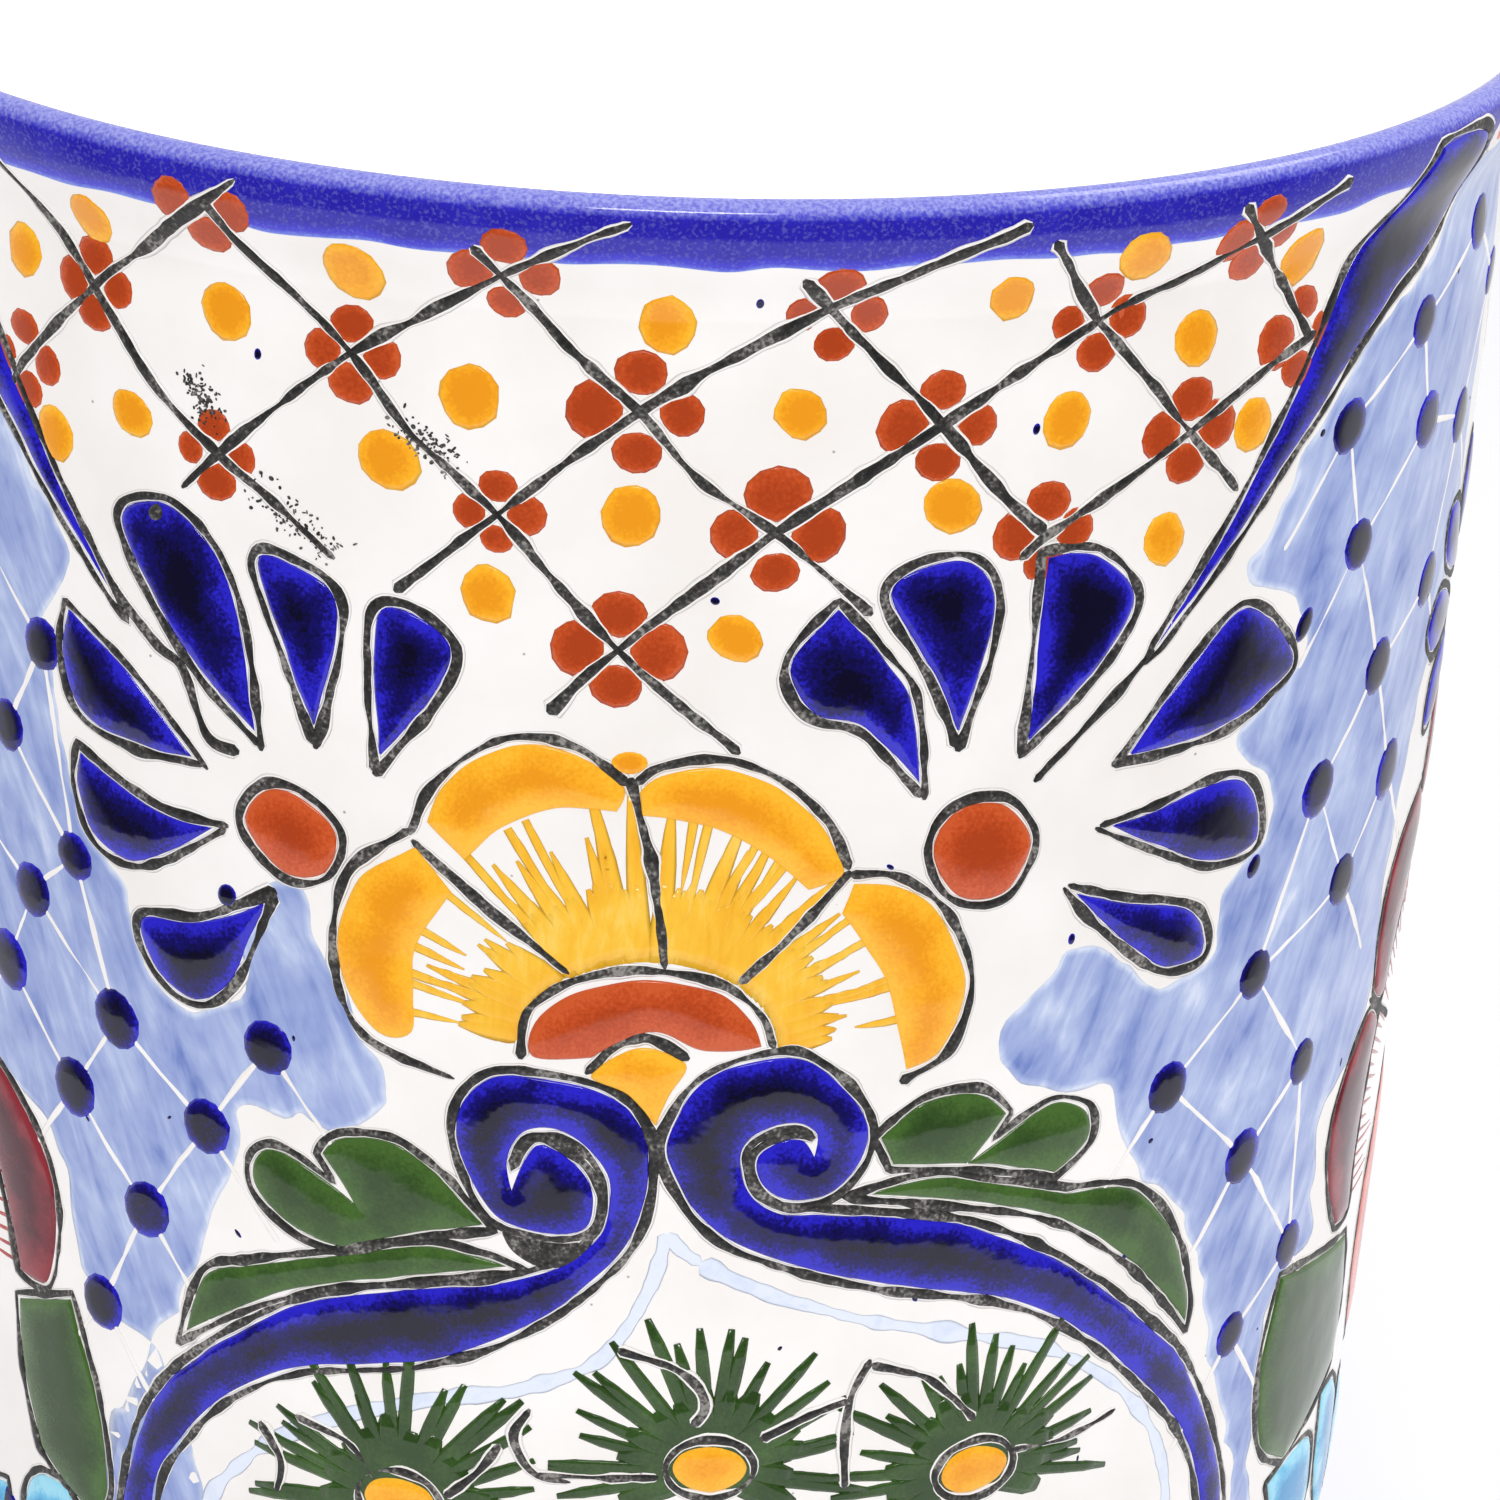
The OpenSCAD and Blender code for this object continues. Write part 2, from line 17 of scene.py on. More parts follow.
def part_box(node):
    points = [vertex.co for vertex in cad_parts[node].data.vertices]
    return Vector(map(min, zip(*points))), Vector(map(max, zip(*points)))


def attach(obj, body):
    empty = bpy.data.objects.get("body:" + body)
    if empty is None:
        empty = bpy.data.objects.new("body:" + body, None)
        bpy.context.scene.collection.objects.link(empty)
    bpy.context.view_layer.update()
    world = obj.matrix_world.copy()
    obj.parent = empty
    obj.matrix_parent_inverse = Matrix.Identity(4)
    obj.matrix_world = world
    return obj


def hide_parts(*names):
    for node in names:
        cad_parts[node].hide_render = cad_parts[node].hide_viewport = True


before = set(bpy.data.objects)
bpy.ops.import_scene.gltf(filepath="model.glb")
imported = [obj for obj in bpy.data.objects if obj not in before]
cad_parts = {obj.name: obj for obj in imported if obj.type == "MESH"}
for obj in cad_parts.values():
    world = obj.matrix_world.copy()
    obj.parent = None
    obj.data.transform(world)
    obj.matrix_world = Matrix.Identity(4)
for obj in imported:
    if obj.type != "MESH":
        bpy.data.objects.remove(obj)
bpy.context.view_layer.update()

noise.seed_set(4)      # so that the hand shakes the same way each time

# %% [markdown]
# ## The shape of the wall
# Everything painted on a vase follows its wall, so the wall's profile comes first.
# The wall is a slightly narrowing cone, with a rolled collar at the lip and a soft groove under it.
# Those could be modelled by hand, but a short formula gives the same curve at any depth, and the
# paint can then ask it how far out the glaze is. The main sizes are read from the loaded nodes.

# %% The wall's profile
MM = 0.001
VASE_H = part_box("rim_glaze")[1].z / MM
RIM_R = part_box("rim_glaze")[1].x / MM
HEEL_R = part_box("heel_glaze")[1].x / MM
HEEL_TOP = VASE_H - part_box("heel_glaze")[1].z / MM
FOOT_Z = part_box("heel_glaze")[0].z / MM
FOOT_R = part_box("clay_floor")[1].x / MM
FLOOR_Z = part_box("clay_floor")[1].z / MM + 0.5
WALL_TOP_R = 143.85     # the straight wall, carried up to the height of the lip
WALL_T = 9
LIP_R = 2.8             # the round of the lip
COLLAR_H = 22           # from the lip down to where the collar meets the straight wall
BAND_H = 11             # the blue band on the lip
GROOVE_T = 0.5
GROOVE_END = 33
GLAZE_T = 0.5
FILLET_R = 10           # inside, between the wall and the floor
TAPER = (WALL_TOP_R - HEEL_R) / HEEL_TOP


def wall_r(depth):
    return WALL_TOP_R - TAPER * depth


def blend(t):
    """1 before the start, 0 past the end, and a smooth fall between."""
    return (1 + np.cos(np.pi * np.clip(t, 0, 1))) / 2


def outer_r(depth):
    """Radius of the glazed outside, in mm, at a depth in mm below the lip."""
    depth = np.asarray(depth, float)
    collar = (RIM_R - wall_r(LIP_R)) * blend((depth - LIP_R) / (COLLAR_H - LIP_R))
    groove = GROOVE_T * np.sin(np.pi * np.clip((depth - BAND_H) / (GROOVE_END - BAND_H), 0, 1)) ** 2
    over_lip = LIP_R - np.sqrt(np.maximum(LIP_R ** 2 - np.maximum(LIP_R - depth, 0) ** 2, 0))
    return wall_r(np.maximum(depth, LIP_R)) + collar - groove - over_lip


def bore_r(depth):
    flare = RIM_R - 2 * LIP_R - wall_r(LIP_R) + WALL_T
    return wall_r(depth) - WALL_T + flare * blend((depth - LIP_R) / (GROOVE_END - LIP_R))


print(f"The wall narrows by {TAPER:.4f} mm for each mm down, from {RIM_R:.1f} mm at the lip")

# %% [markdown]
# ## The painter's paper
# It is far easier to draw on flat paper than on a cone. So each stroke and field is drawn flat:
# x is mm round the wall from the front, y is mm below the lip as a negative number, and z is mm off
# the glaze. When a piece is finished, `on_wall` rolls the paper round the vase. The rolled mesh
# keeps its flat place in an attribute named drawing, which brush streaks in a material can follow.

# %% Roll a drawing round the wall
DRAW_R = 140            # mm: the radius at which x is measured
HALF_TURN = math.pi * DRAW_R
LEAN = 0.16             # mm round for each mm down, on the side panels' centre line
LEAN_FROM = 60          # mm below the lip, where that line crosses the quarter turn


def on_wall(flat):
    """Places in metres for drawn points [x, y, z] in mm."""
    turn = flat[:, 0] / DRAW_R
    r = outer_r(-flat[:, 1]) + flat[:, 2]
    return np.stack([r * np.sin(turn), -r * np.cos(turn), VASE_H + flat[:, 1]], 1) * MM


def finish_piece(name, mesh, nodes=(), material=None):
    """Makes the object with its material, and hides the loaded nodes that it stands for."""
    if material is not None:
        mesh.materials.clear()
        mesh.materials.append(material)
    piece = bpy.data.objects.new(name, mesh)
    bpy.context.scene.collection.objects.link(piece)
    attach(piece, "root")
    if nodes:
        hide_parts(*nodes)
    triangles = sum(len(p.vertices) - 2 for p in mesh.polygons)
    print(f"{name}: {triangles} triangles")
    return piece


def closed_up(mesh, gap):
    """Merges points that are closer than gap, in metres, and turns the faces outwards."""
    work = bmesh.new()
    work.from_mesh(mesh)
    bmesh.ops.remove_doubles(work, verts=work.verts, dist=gap)
    bmesh.ops.recalc_face_normals(work, faces=work.faces)
    work.to_mesh(mesh)
    work.free()
    mesh.update()


def rolled(mesh):
    """Rolls a mesh drawn in mm round the wall, with its faces turned outwards."""
    flat = np.empty(len(mesh.vertices) * 3)
    mesh.vertices.foreach_get("co", flat)
    flat = flat.reshape(-1, 3)
    mesh.vertices.foreach_set("co", on_wall(flat).ravel())
    place = mesh.attributes.new("drawing", "FLOAT_VECTOR", "POINT")
    place.data.foreach_set("vector", (flat * MM).ravel())
    closed_up(mesh, 1e-7)


print(f"The paper is {2 * HALF_TURN:.0f} mm round and {VASE_H:.0f} mm tall")

# %% [markdown]
# ## Camera, floor and light
# A tall vase is looked at from a little above, close, with a long lens that keeps its sides
# straight. The studio is bright and even, so the white glaze stays near white. Glossy enamel shows
# what it mirrors: its lower slopes mirror the pale table and turn grey, and its upper slopes
# mirror the dark room behind the camera and stay deep. Lamps could fake that, but a floor in two
# pieces and a world that is dark in front, for mirrored rays only, give it on every slope. A narrow
# lamp draws the bright line along the lip, and a small lamp low inside keeps the inside as white as
# the table.

# %% Camera
scene = bpy.context.scene
camera = bpy.data.objects.new("camera", bpy.data.cameras.new("camera"))
scene.collection.objects.link(camera)
scene.camera = camera
camera.data.lens = 132
camera.data.sensor_width = 36
camera.location = (0, -0.9117, 0.6121)
AIM = Vector((0.0156, -0.14, 0.2913))
ROLL = math.radians(2.545)
sight = (AIM - camera.location).to_track_quat("-Z", "Y").to_matrix()
camera.rotation_euler = (sight @ Matrix.Rotation(ROLL, 3, "Z")).to_euler()
scene.view_settings.view_transform = "Standard"
print(f"The camera stands {(AIM - camera.location).length:.2f} m off, with a long lens")

# %% Colour and node helpers


def linear(colour):
    """Linear RGBA from an sRGB hex colour."""
    levels = [int(colour[i:i + 2], 16) / 255 for i in (1, 3, 5)]
    return [v / 12.92 if v <= 0.04045 else ((v + 0.055) / 1.055) ** 2.4 for v in levels] + [1]


def node(tree, kind, inputs=None, stops=(), **settings):
    """Adds a node. Each input is a number, a colour, or the socket that feeds it; stops are a
    colour ramp's (place, hex colour) pairs."""
    made = tree.nodes.new(kind)
    while stops and len(made.color_ramp.elements) < len(stops):
        made.color_ramp.elements.new(0.5)
    for i, (place, colour) in enumerate(stops):
        made.color_ramp.elements[i].position = place
        made.color_ramp.elements[i].color = linear(colour)
    for name, value in settings.items():
        setattr(made, name, value)
    for name, value in (inputs or {}).items():
        if isinstance(value, bpy.types.NodeSocket):
            tree.links.new(value, made.inputs[name])
        else:
            made.inputs[name].default_value = value
    return made


def new_material(name, **shader):
    """A material with one Principled shader, and its tree to add nodes to."""
    material = bpy.data.materials.new(name)
    material.use_nodes = True
    tree = material.node_tree
    principled = tree.nodes["Principled BSDF"]
    for socket, value in shader.items():
        principled.inputs[socket.replace("_", " ")].default_value = value
    return material, tree, principled


def per_mm(size):
    """A texture scale that repeats about every size mm, on coordinates in metres."""
    return 1 / (size * MM)


print(f"A middle grey, #808080, is {linear('#808080')[0]:.3f} in linear light")

# %% Floor
TABLE_R = 0.54          # metres: as far out as the glaze mirrors the pale table
FLOOR_R = 4
SIDES = 96
floor_paint, _, _ = new_material("pale_studio_floor", Base_Color=linear("#F8F8FA"), Roughness=0.7)


def floor_piece(name, inner, outer, in_glaze):
    """A flat disc or ring of floor; the glaze mirrors it only if in_glaze is true."""
    rings = [[(r * math.cos(a), r * math.sin(a), 0) for a in np.arange(SIDES) * 2 * math.pi / SIDES]
             for r in (outer, inner) if r]
    faces = [tuple(range(SIDES))] if inner == 0 else [
        (i, (i + 1) % SIDES, SIDES + (i + 1) % SIDES, SIDES + i) for i in range(SIDES)]
    mesh = bpy.data.meshes.new(name)
    mesh.from_pydata(sum(rings, []), [], faces)
    mesh.materials.append(floor_paint)
    piece = bpy.data.objects.new(name, mesh)
    scene.collection.objects.link(piece)
    piece.visible_glossy = in_glaze


floor_piece("pale_table", 0, TABLE_R, True)
floor_piece("pale_sweep", TABLE_R, FLOOR_R, False)
print(f"The glaze mirrors the floor out to {TABLE_R} m")

# %% The room
world = bpy.data.worlds.new("studio")
scene.world = world
world.use_nodes = True
tree = world.node_tree
way = node(tree, "ShaderNodeSeparateXYZ",
           {"Vector": node(tree, "ShaderNodeTexCoord").outputs["Generated"]})
to_front = node(tree, "ShaderNodeMapRange",
                {"Value": way.outputs["Y"], "From Min": -0.1, "From Max": 0.25,
                 "To Min": 1.0, "To Max": 0.0})
below_lamps = node(tree, "ShaderNodeMapRange",
                   {"Value": way.outputs["Z"], "From Min": 0.6, "From Max": 0.85,
                    "To Min": 1.0, "To Max": 0.0})
dark_side = node(tree, "ShaderNodeMath",
                 {0: to_front.outputs["Result"], 1: below_lamps.outputs["Result"]},
                 operation="MULTIPLY")
seen_in_glaze = node(tree, "ShaderNodeMath",
                     {0: dark_side.outputs[0],
                      1: node(tree, "ShaderNodeLightPath").outputs["Is Glossy Ray"]},
                     operation="MULTIPLY")
room = node(tree, "ShaderNodeMix",
            {0: seen_in_glaze.outputs[0], 6: linear("#FBFBFD"), 7: linear("#5A5A60")},
            data_type="RGBA")
backdrop = tree.nodes["Background"]
tree.links.new(room.outputs[2], backdrop.inputs["Color"])
backdrop.inputs["Strength"].default_value = 0.92
print("The room is pale, but the glaze mirrors it dark in front and below the lamps")

# %% Lamps


def soft_panel(name, place, aim, size, watts):
    light = bpy.data.lights.new(name, "AREA")
    light.shape = "RECTANGLE"
    light.size, light.size_y = size
    light.energy = watts
    panel = bpy.data.objects.new(name, light)
    scene.collection.objects.link(panel)
    panel.location = place
    panel.rotation_euler = (Vector(aim) - Vector(place)).to_track_quat("-Z", "Y").to_euler()


soft_panel("lip_strip", (0.04, -1.36, 1.46), (0, -0.1, 0.37), (0.56, 0.16), 6.5)
soft_panel("key_panel", (0.75, 0.3, 1.5), (0, 0, 0.3), (0.6, 0.6), 5)
glow = bpy.data.lights.new("glow_in_the_vase", "POINT")
glow.energy = 0.75
glow.shadow_soft_size = 0.06
glow_place = bpy.data.objects.new("glow_in_the_vase", glow)
glow_place.location = (0, 0, 0.22)
glow_place.visible_camera = False
scene.collection.objects.link(glow_place)
print("Lamps:", ", ".join(light.name for light in bpy.data.lights))

# %% [markdown]
# ## Clay and white tin glaze
# Low-fired earthenware is porous and matt, and shows only where the foot was wiped clean.
# Tin oxide makes the glaze over it a thick, warm, opaque white that is glossy but never quite
# level: it keeps the soft waves of throwing, and a few pinholes. One shader with two noises in its
# bump gives both. The glaze could be a clear coat over clay, but tin glaze hides the clay entirely.

# %% Clay
earthenware, tree, shader = new_material("bisque_fired_red_earthenware", Roughness=0.85)
place = node(tree, "ShaderNodeTexCoord").outputs["Object"]
mottle = node(tree, "ShaderNodeTexNoise", {"Vector": place, "Scale": per_mm(9), "Detail": 6})
# Grog is finer than 0.7 mm; it is drawn as coarse as it needs to be to show.
grog = node(tree, "ShaderNodeTexNoise", {"Vector": place, "Scale": per_mm(0.7), "Detail": 3})
clay = node(tree, "ShaderNodeValToRGB", {"Fac": mottle.outputs["Fac"]},
            stops=[(0.3, "#A9623F"), (0.7, "#C98A62")])
tree.links.new(clay.outputs["Color"], shader.inputs["Base Color"])
pits = node(tree, "ShaderNodeBump",
            {"Height": grog.outputs["Fac"], "Strength": 0.5, "Distance": 0.3 * MM})
tree.links.new(pits.outputs["Normal"], shader.inputs["Normal"])
print("Made", earthenware.name)

# %% White tin glaze
tin_glaze, tree, shader = new_material("white_tin_glaze", Roughness=0.13, IOR=1.52)
place = node(tree, "ShaderNodeTexCoord").outputs["Object"]
cloud = node(tree, "ShaderNodeTexNoise", {"Vector": place, "Scale": per_mm(26), "Detail": 4})
body = node(tree, "ShaderNodeValToRGB", {"Fac": cloud.outputs["Fac"]},
            stops=[(0.3, "#F1ECE6"), (0.65, "#F8F5F1")])
pinhole = node(tree, "ShaderNodeTexVoronoi", {"Vector": place, "Scale": per_mm(9)})
pin_ring = node(tree, "ShaderNodeValToRGB", {"Fac": pinhole.outputs["Distance"]},
                stops=[(0.018, "#8F8B86"), (0.034, "#FFFFFF")])
glaze_colour = node(tree, "ShaderNodeMix",
                    {0: 0.8, 6: body.outputs["Color"], 7: pin_ring.outputs["Color"]},
                    data_type="RGBA", blend_type="MULTIPLY")
tree.links.new(glaze_colour.outputs[2], shader.inputs["Base Color"])
throwing = node(tree, "ShaderNodeTexNoise", {"Vector": place, "Scale": per_mm(14), "Detail": 1})
waves = node(tree, "ShaderNodeBump",
             {"Height": throwing.outputs["Fac"], "Strength": 0.35, "Distance": 0.35 * MM})
tree.links.new(waves.outputs["Normal"], shader.inputs["Normal"])
print("Made", tin_glaze.name)

# %% [markdown]
# ## Enamel
# Enamel pools: it is thin and bright at the edge of a field and thick and dark in its middle, and
# a thick spot can turn nearly black. Every field carries an attribute named pool, which is 0 at
# its edge and 1 where it is deep. That attribute, broken up with noise, drives one colour ramp.
# The alternative, a painted texture, would be tied to one layout of the drawing.

# %% Enamels


def enamel(name, edge, body, deep, roughness=0.1, blot=0.55, grain=0.1):
    """Glossy raised enamel: its colour runs from edge through body to deep as it pools."""
    material, tree, shader = new_material(name, Roughness=roughness, IOR=1.5)
    place = node(tree, "ShaderNodeTexCoord").outputs["Object"]
    pool = node(tree, "ShaderNodeAttribute", attribute_name="pool").outputs["Fac"]
    blots = node(tree, "ShaderNodeTexNoise", {"Vector": place, "Scale": per_mm(9), "Detail": 3})
    shift = node(tree, "ShaderNodeMapRange",
                 {"Value": blots.outputs["Fac"], "From Min": 0.3, "From Max": 0.7,
                  "To Min": -blot, "To Max": blot})
    deepness = node(tree, "ShaderNodeMath", {0: pool, 1: shift.outputs["Result"]}, operation="ADD")
    speck = node(tree, "ShaderNodeTexNoise", {"Vector": place, "Scale": per_mm(0.6), "Detail": 2})
    grainy = node(tree, "ShaderNodeMapRange",
                  {"Value": speck.outputs["Fac"], "From Min": 0.3, "From Max": 0.7,
                   "To Min": -grain, "To Max": grain})
    total = node(tree, "ShaderNodeMath",
                 {0: deepness.outputs[0], 1: grainy.outputs["Result"]}, operation="ADD")
    colour = node(tree, "ShaderNodeValToRGB", {"Fac": total.outputs[0]},
                  stops=[(0.02, edge), (0.4, body), (0.9, deep)])
    tree.links.new(colour.outputs["Color"], shader.inputs["Base Color"])
    swell = node(tree, "ShaderNodeTexNoise", {"Vector": place, "Scale": per_mm(5), "Detail": 2})
    sheen = node(tree, "ShaderNodeBump",
                 {"Height": swell.outputs["Fac"], "Strength": 0.3, "Distance": 0.25 * MM})
    tree.links.new(sheen.outputs["Normal"], shader.inputs["Normal"])
    print("Made", name)
    return material


cobalt = enamel("pooled_cobalt_enamel", "#2822C4", "#110A66", "#050322", 0.08, 0.3, 0.2)
terracotta = enamel("iron_red_enamel", "#CE5828", "#C04A1A", "#AC3E12", 0.14, 0.3, 0.3)
yellow = enamel("antimony_yellow_enamel", "#FDBB2C", "#FAAC1C", "#EE980F", 0.15, 0.35, 0.25)
green = enamel("copper_green_enamel", "#46682C", "#385624", "#2A441A", 0.12, 0.4, 0.2)
burgundy = enamel("manganese_burgundy_enamel", "#8E2F38", "#74222E", "#4B1320", 0.13)
salmon = enamel("salmon_enamel", "#EFA096", "#E6877C", "#D26E62", 0.2, 0.4)
turquoise = enamel("turquoise_enamel", "#9BDCF0", "#62BDE4", "#2E93CB", 0.13)

# %% [markdown]
# ## Brush black, washes and rays
# The black is a dry mix of manganese and iron with almost no glass in it, so it stays matt and
# grainy. A wash is cobalt in a lot of water: it dries in streaks along the brush and darker at its
# edges, so its noise is stretched along the stroke, in the drawing's own coordinates. The rays in
# the petals are thin single strokes of yellow or red, with no depth to pool in.

# %% Thin paints


def streaky(name, stops, along=30, across=2.4, turn=0.0, roughness=0.15):
    """Thin paint streaked along the brush, with a ramp from its thinnest to its thickest."""
    material, tree, shader = new_material(name, Roughness=roughness, IOR=1.5)
    drawing = node(tree, "ShaderNodeAttribute", attribute_name="drawing").outputs["Vector"]
    pool = node(tree, "ShaderNodeAttribute", attribute_name="pool").outputs["Fac"]
    turned = node(tree, "ShaderNodeMapping", {"Vector": drawing, "Rotation": (0, 0, turn)})
    drawn_out = node(tree, "ShaderNodeMapping",
                     {"Vector": turned.outputs["Vector"],
                      "Scale": (per_mm(across), per_mm(along), per_mm(along))})
    streaks = node(tree, "ShaderNodeTexNoise",
                   {"Vector": drawn_out.outputs["Vector"], "Scale": 1, "Detail": 5,
                    "Roughness": 0.6, "Distortion": 0.6})
    puddles = node(tree, "ShaderNodeTexNoise",
                   {"Vector": turned.outputs["Vector"], "Scale": per_mm(16), "Detail": 3})
    mixed = node(tree, "ShaderNodeMath",
                 {0: streaks.outputs["Fac"], 1: puddles.outputs["Fac"]}, operation="ADD")
    thickness = node(tree, "ShaderNodeMapRange",
                     {"Value": mixed.outputs[0], "From Min": 0.65, "From Max": 1.35})
    edge = node(tree, "ShaderNodeMapRange",
                {"Value": pool, "From Min": 0.0, "From Max": 0.12, "To Min": -0.5, "To Max": 0})
    laid = node(tree, "ShaderNodeMath",
                {0: thickness.outputs["Result"], 1: edge.outputs["Result"]}, operation="ADD")
    colour = node(tree, "ShaderNodeValToRGB", {"Fac": laid.outputs[0]}, stops=stops)
    tree.links.new(colour.outputs["Color"], shader.inputs["Base Color"])
    print("Made", name)
    return material


WASH_STOPS = ((0.0, "#D6DEF1"), (0.2, "#B9C6E6"), (0.45, "#A0AFDA"), (0.7, "#8B9CD0"),
              (0.88, "#7085C4"), (1.0, "#5A6FB8"))
WASH_TURN = 0.42        # radians: the brush's slant, which is mirrored on the left
washes = {side: streaky(f"watered_cobalt_wash_{name}", WASH_STOPS, 20, 4.4, side * WASH_TURN)
          for side, name in ((-1, "left"), (1, "right"))}
pale_line = streaky("pale_cobalt_line",
                    ((0.0, "#E3EAF7"), (0.6, "#C8D5EC"), (1.0, "#93A8DE")), 5, 5)
yellow_ray = streaky("thin_yellow_stroke",
                     ((0.0, "#FBD468"), (0.4, "#F9C23A"), (1.0, "#F3AC20")), 9, 2)
red_ray = streaky("thin_red_stroke",
                  ((0.0, "#D77A70"), (0.5, "#B5453F"), (1.0, "#8E2A2C")), 9, 2)

# %% Brush black
brush_black, tree, shader = new_material("matt_manganese_black", Roughness=0.5)
place = node(tree, "ShaderNodeTexCoord").outputs["Object"]
thin = node(tree, "ShaderNodeTexNoise", {"Vector": place, "Scale": per_mm(7), "Detail": 3})
grain = node(tree, "ShaderNodeTexNoise", {"Vector": place, "Scale": per_mm(0.7), "Detail": 4})
both = node(tree, "ShaderNodeMath",
            {0: grain.outputs["Fac"], 1: thin.outputs["Fac"]}, operation="ADD")
dryness = node(tree, "ShaderNodeMapRange",
               {"Value": both.outputs[0], "From Min": 0.6, "From Max": 1.4})
soot = node(tree, "ShaderNodeValToRGB", {"Fac": dryness.outputs["Result"]},
            stops=[(0.2, "#1A1917"), (0.45, "#2E2C29"), (0.62, "#4D4A46"), (0.8, "#8E8B85")])
tree.links.new(soot.outputs["Color"], shader.inputs["Base Color"])
rough = node(tree, "ShaderNodeBump",
             {"Height": grain.outputs["Fac"], "Strength": 0.5, "Distance": 0.12 * MM})
tree.links.new(rough.outputs["Normal"], shader.inputs["Normal"])
print("Made", brush_black.name)

# %% [markdown]
# ## Cobalt glaze on the lip
# The lip is banded with one loaded sweep of the brush. Cobalt is strong but it runs: it drains off
# the crest of the lip and gathers below it. The crest is painted a paler violet, for that thin
# glaze and for a painted reflection of the lamps above it. The lower edge is ragged.

# %% Cobalt glaze for the lip and the heel
cobalt_glaze, tree, shader = new_material("cobalt_glaze_band", Roughness=0.12, IOR=1.5)
place = node(tree, "ShaderNodeTexCoord").outputs["Object"]
height = node(tree, "ShaderNodeSeparateXYZ", {"Vector": place}).outputs["Z"]
# The crest's paler violet is painted: partly thin glaze, partly a painted reflection of the lamps.
crest = node(tree, "ShaderNodeMapRange",
             {"Value": height, "From Min": (VASE_H - 2.6) * MM, "From Max": (VASE_H - 0.9) * MM})
pool = node(tree, "ShaderNodeAttribute", attribute_name="pool").outputs["Fac"]
speck = node(tree, "ShaderNodeTexNoise", {"Vector": place, "Scale": per_mm(0.6), "Detail": 4})
blots = node(tree, "ShaderNodeTexNoise", {"Vector": place, "Scale": per_mm(7), "Detail": 4})
mixed = node(tree, "ShaderNodeMath",
             {0: speck.outputs["Fac"], 1: blots.outputs["Fac"]}, operation="ADD")
laid = node(tree, "ShaderNodeMapRange",
            {"Value": mixed.outputs[0], "From Min": 0.6, "From Max": 1.4,
             "To Min": -0.25, "To Max": 0.25})
depth = node(tree, "ShaderNodeMath", {0: pool, 1: laid.outputs["Result"]}, operation="ADD")
deep_blue = node(tree, "ShaderNodeValToRGB", {"Fac": depth.outputs[0]},
                 stops=[(0.0, "#7488E2"), (0.3, "#3E3ACE"), (0.6, "#322CC2"), (1.0, "#221AA2")])
# This pale blue is the painted crest: thin glaze and a painted reflection of the lamps.
pale_blue = node(tree, "ShaderNodeValToRGB", {"Fac": speck.outputs["Fac"]},
                 stops=[(0.35, "#6E70CC"), (0.65, "#989CE0")])
crest_jitter = node(tree, "ShaderNodeMapRange",
               {"Value": speck.outputs["Fac"], "From Min": 0.35, "From Max": 0.65,
                "To Min": -0.2, "To Max": 0.2})
pale_crest_mask = node(tree, "ShaderNodeMath",
                     {0: crest.outputs["Result"], 1: crest_jitter.outputs["Result"]},
                     operation="ADD", use_clamp=True)
crest_paled_with_sheen = node(tree, "ShaderNodeMix",
                    {0: pale_crest_mask.outputs[0], 6: deep_blue.outputs["Color"],
                     7: pale_blue.outputs["Color"]}, data_type="RGBA")
tree.links.new(crest_paled_with_sheen.outputs[2], shader.inputs["Base Color"])
ripple = node(tree, "ShaderNodeBump",
              {"Height": blots.outputs["Fac"], "Strength": 0.3, "Distance": 0.3 * MM})
tree.links.new(ripple.outputs["Normal"], shader.inputs["Normal"])
print("Made", cobalt_glaze.name)

# %% [markdown]
# ## The turned shells
# The clay pieces keep their loaded meshes and take the earthenware material. The glaze skins are
# remade as finely turned shells, because a long lens and a glossy surface show every facet.
# A screw modifier would turn a fixed profile. Here the lower edge of the lip's blue band wanders
# as it goes round, so a small function asks for the section at each angle and joins them.

# %% Turn a shell


def set_pool(mesh, values):
    """The pool attribute: 0 at the edge of a field and 1 where its colour is deep."""
    mesh.attributes.new("pool", "FLOAT", "POINT").data.foreach_set("value", values)


def turned_shell(name, section, material, nodes, segments=360, pool=None):
    """Joins closed sections, lists of [radius, height] in mm, into a closed ring round Z."""
    rings = [np.asarray(section(2 * math.pi * i / segments)) for i in range(segments)]
    count = len(rings[0])
    places = np.concatenate([
        np.stack([ring[:, 0] * math.sin(a), -ring[:, 0] * math.cos(a), ring[:, 1]], 1)
        for ring, a in zip(rings, np.arange(segments) * 2 * math.pi / segments)]) * MM
    faces = []
    for i in range(segments):
        for k in range(count):
            here, beside = i * count, (i + 1) % segments * count
            faces.append((here + k, here + (k + 1) % count, beside + (k + 1) % count, beside + k))
    mesh = bpy.data.meshes.new(name)
    mesh.from_pydata(places.tolist(), [], faces)
    if pool is not None:
        set_pool(mesh, np.concatenate([pool(ring) for ring in rings]))
    closed_up(mesh, 1e-6)
    mesh.shade_smooth()
    mesh.set_sharp_from_angle(angle=math.radians(40))
    return finish_piece(name, mesh, nodes, material)


def arc(centre, radius, start, end, steps=12):
    angles = np.radians(np.linspace(start, end, steps + 1))
    return np.stack([centre[0] + radius * np.cos(angles), centre[1] + radius * np.sin(angles)], 1)


def down_wall(depths, offset=0):
    return np.stack([outer_r(depths) + offset, VASE_H - np.asarray(depths)], 1)


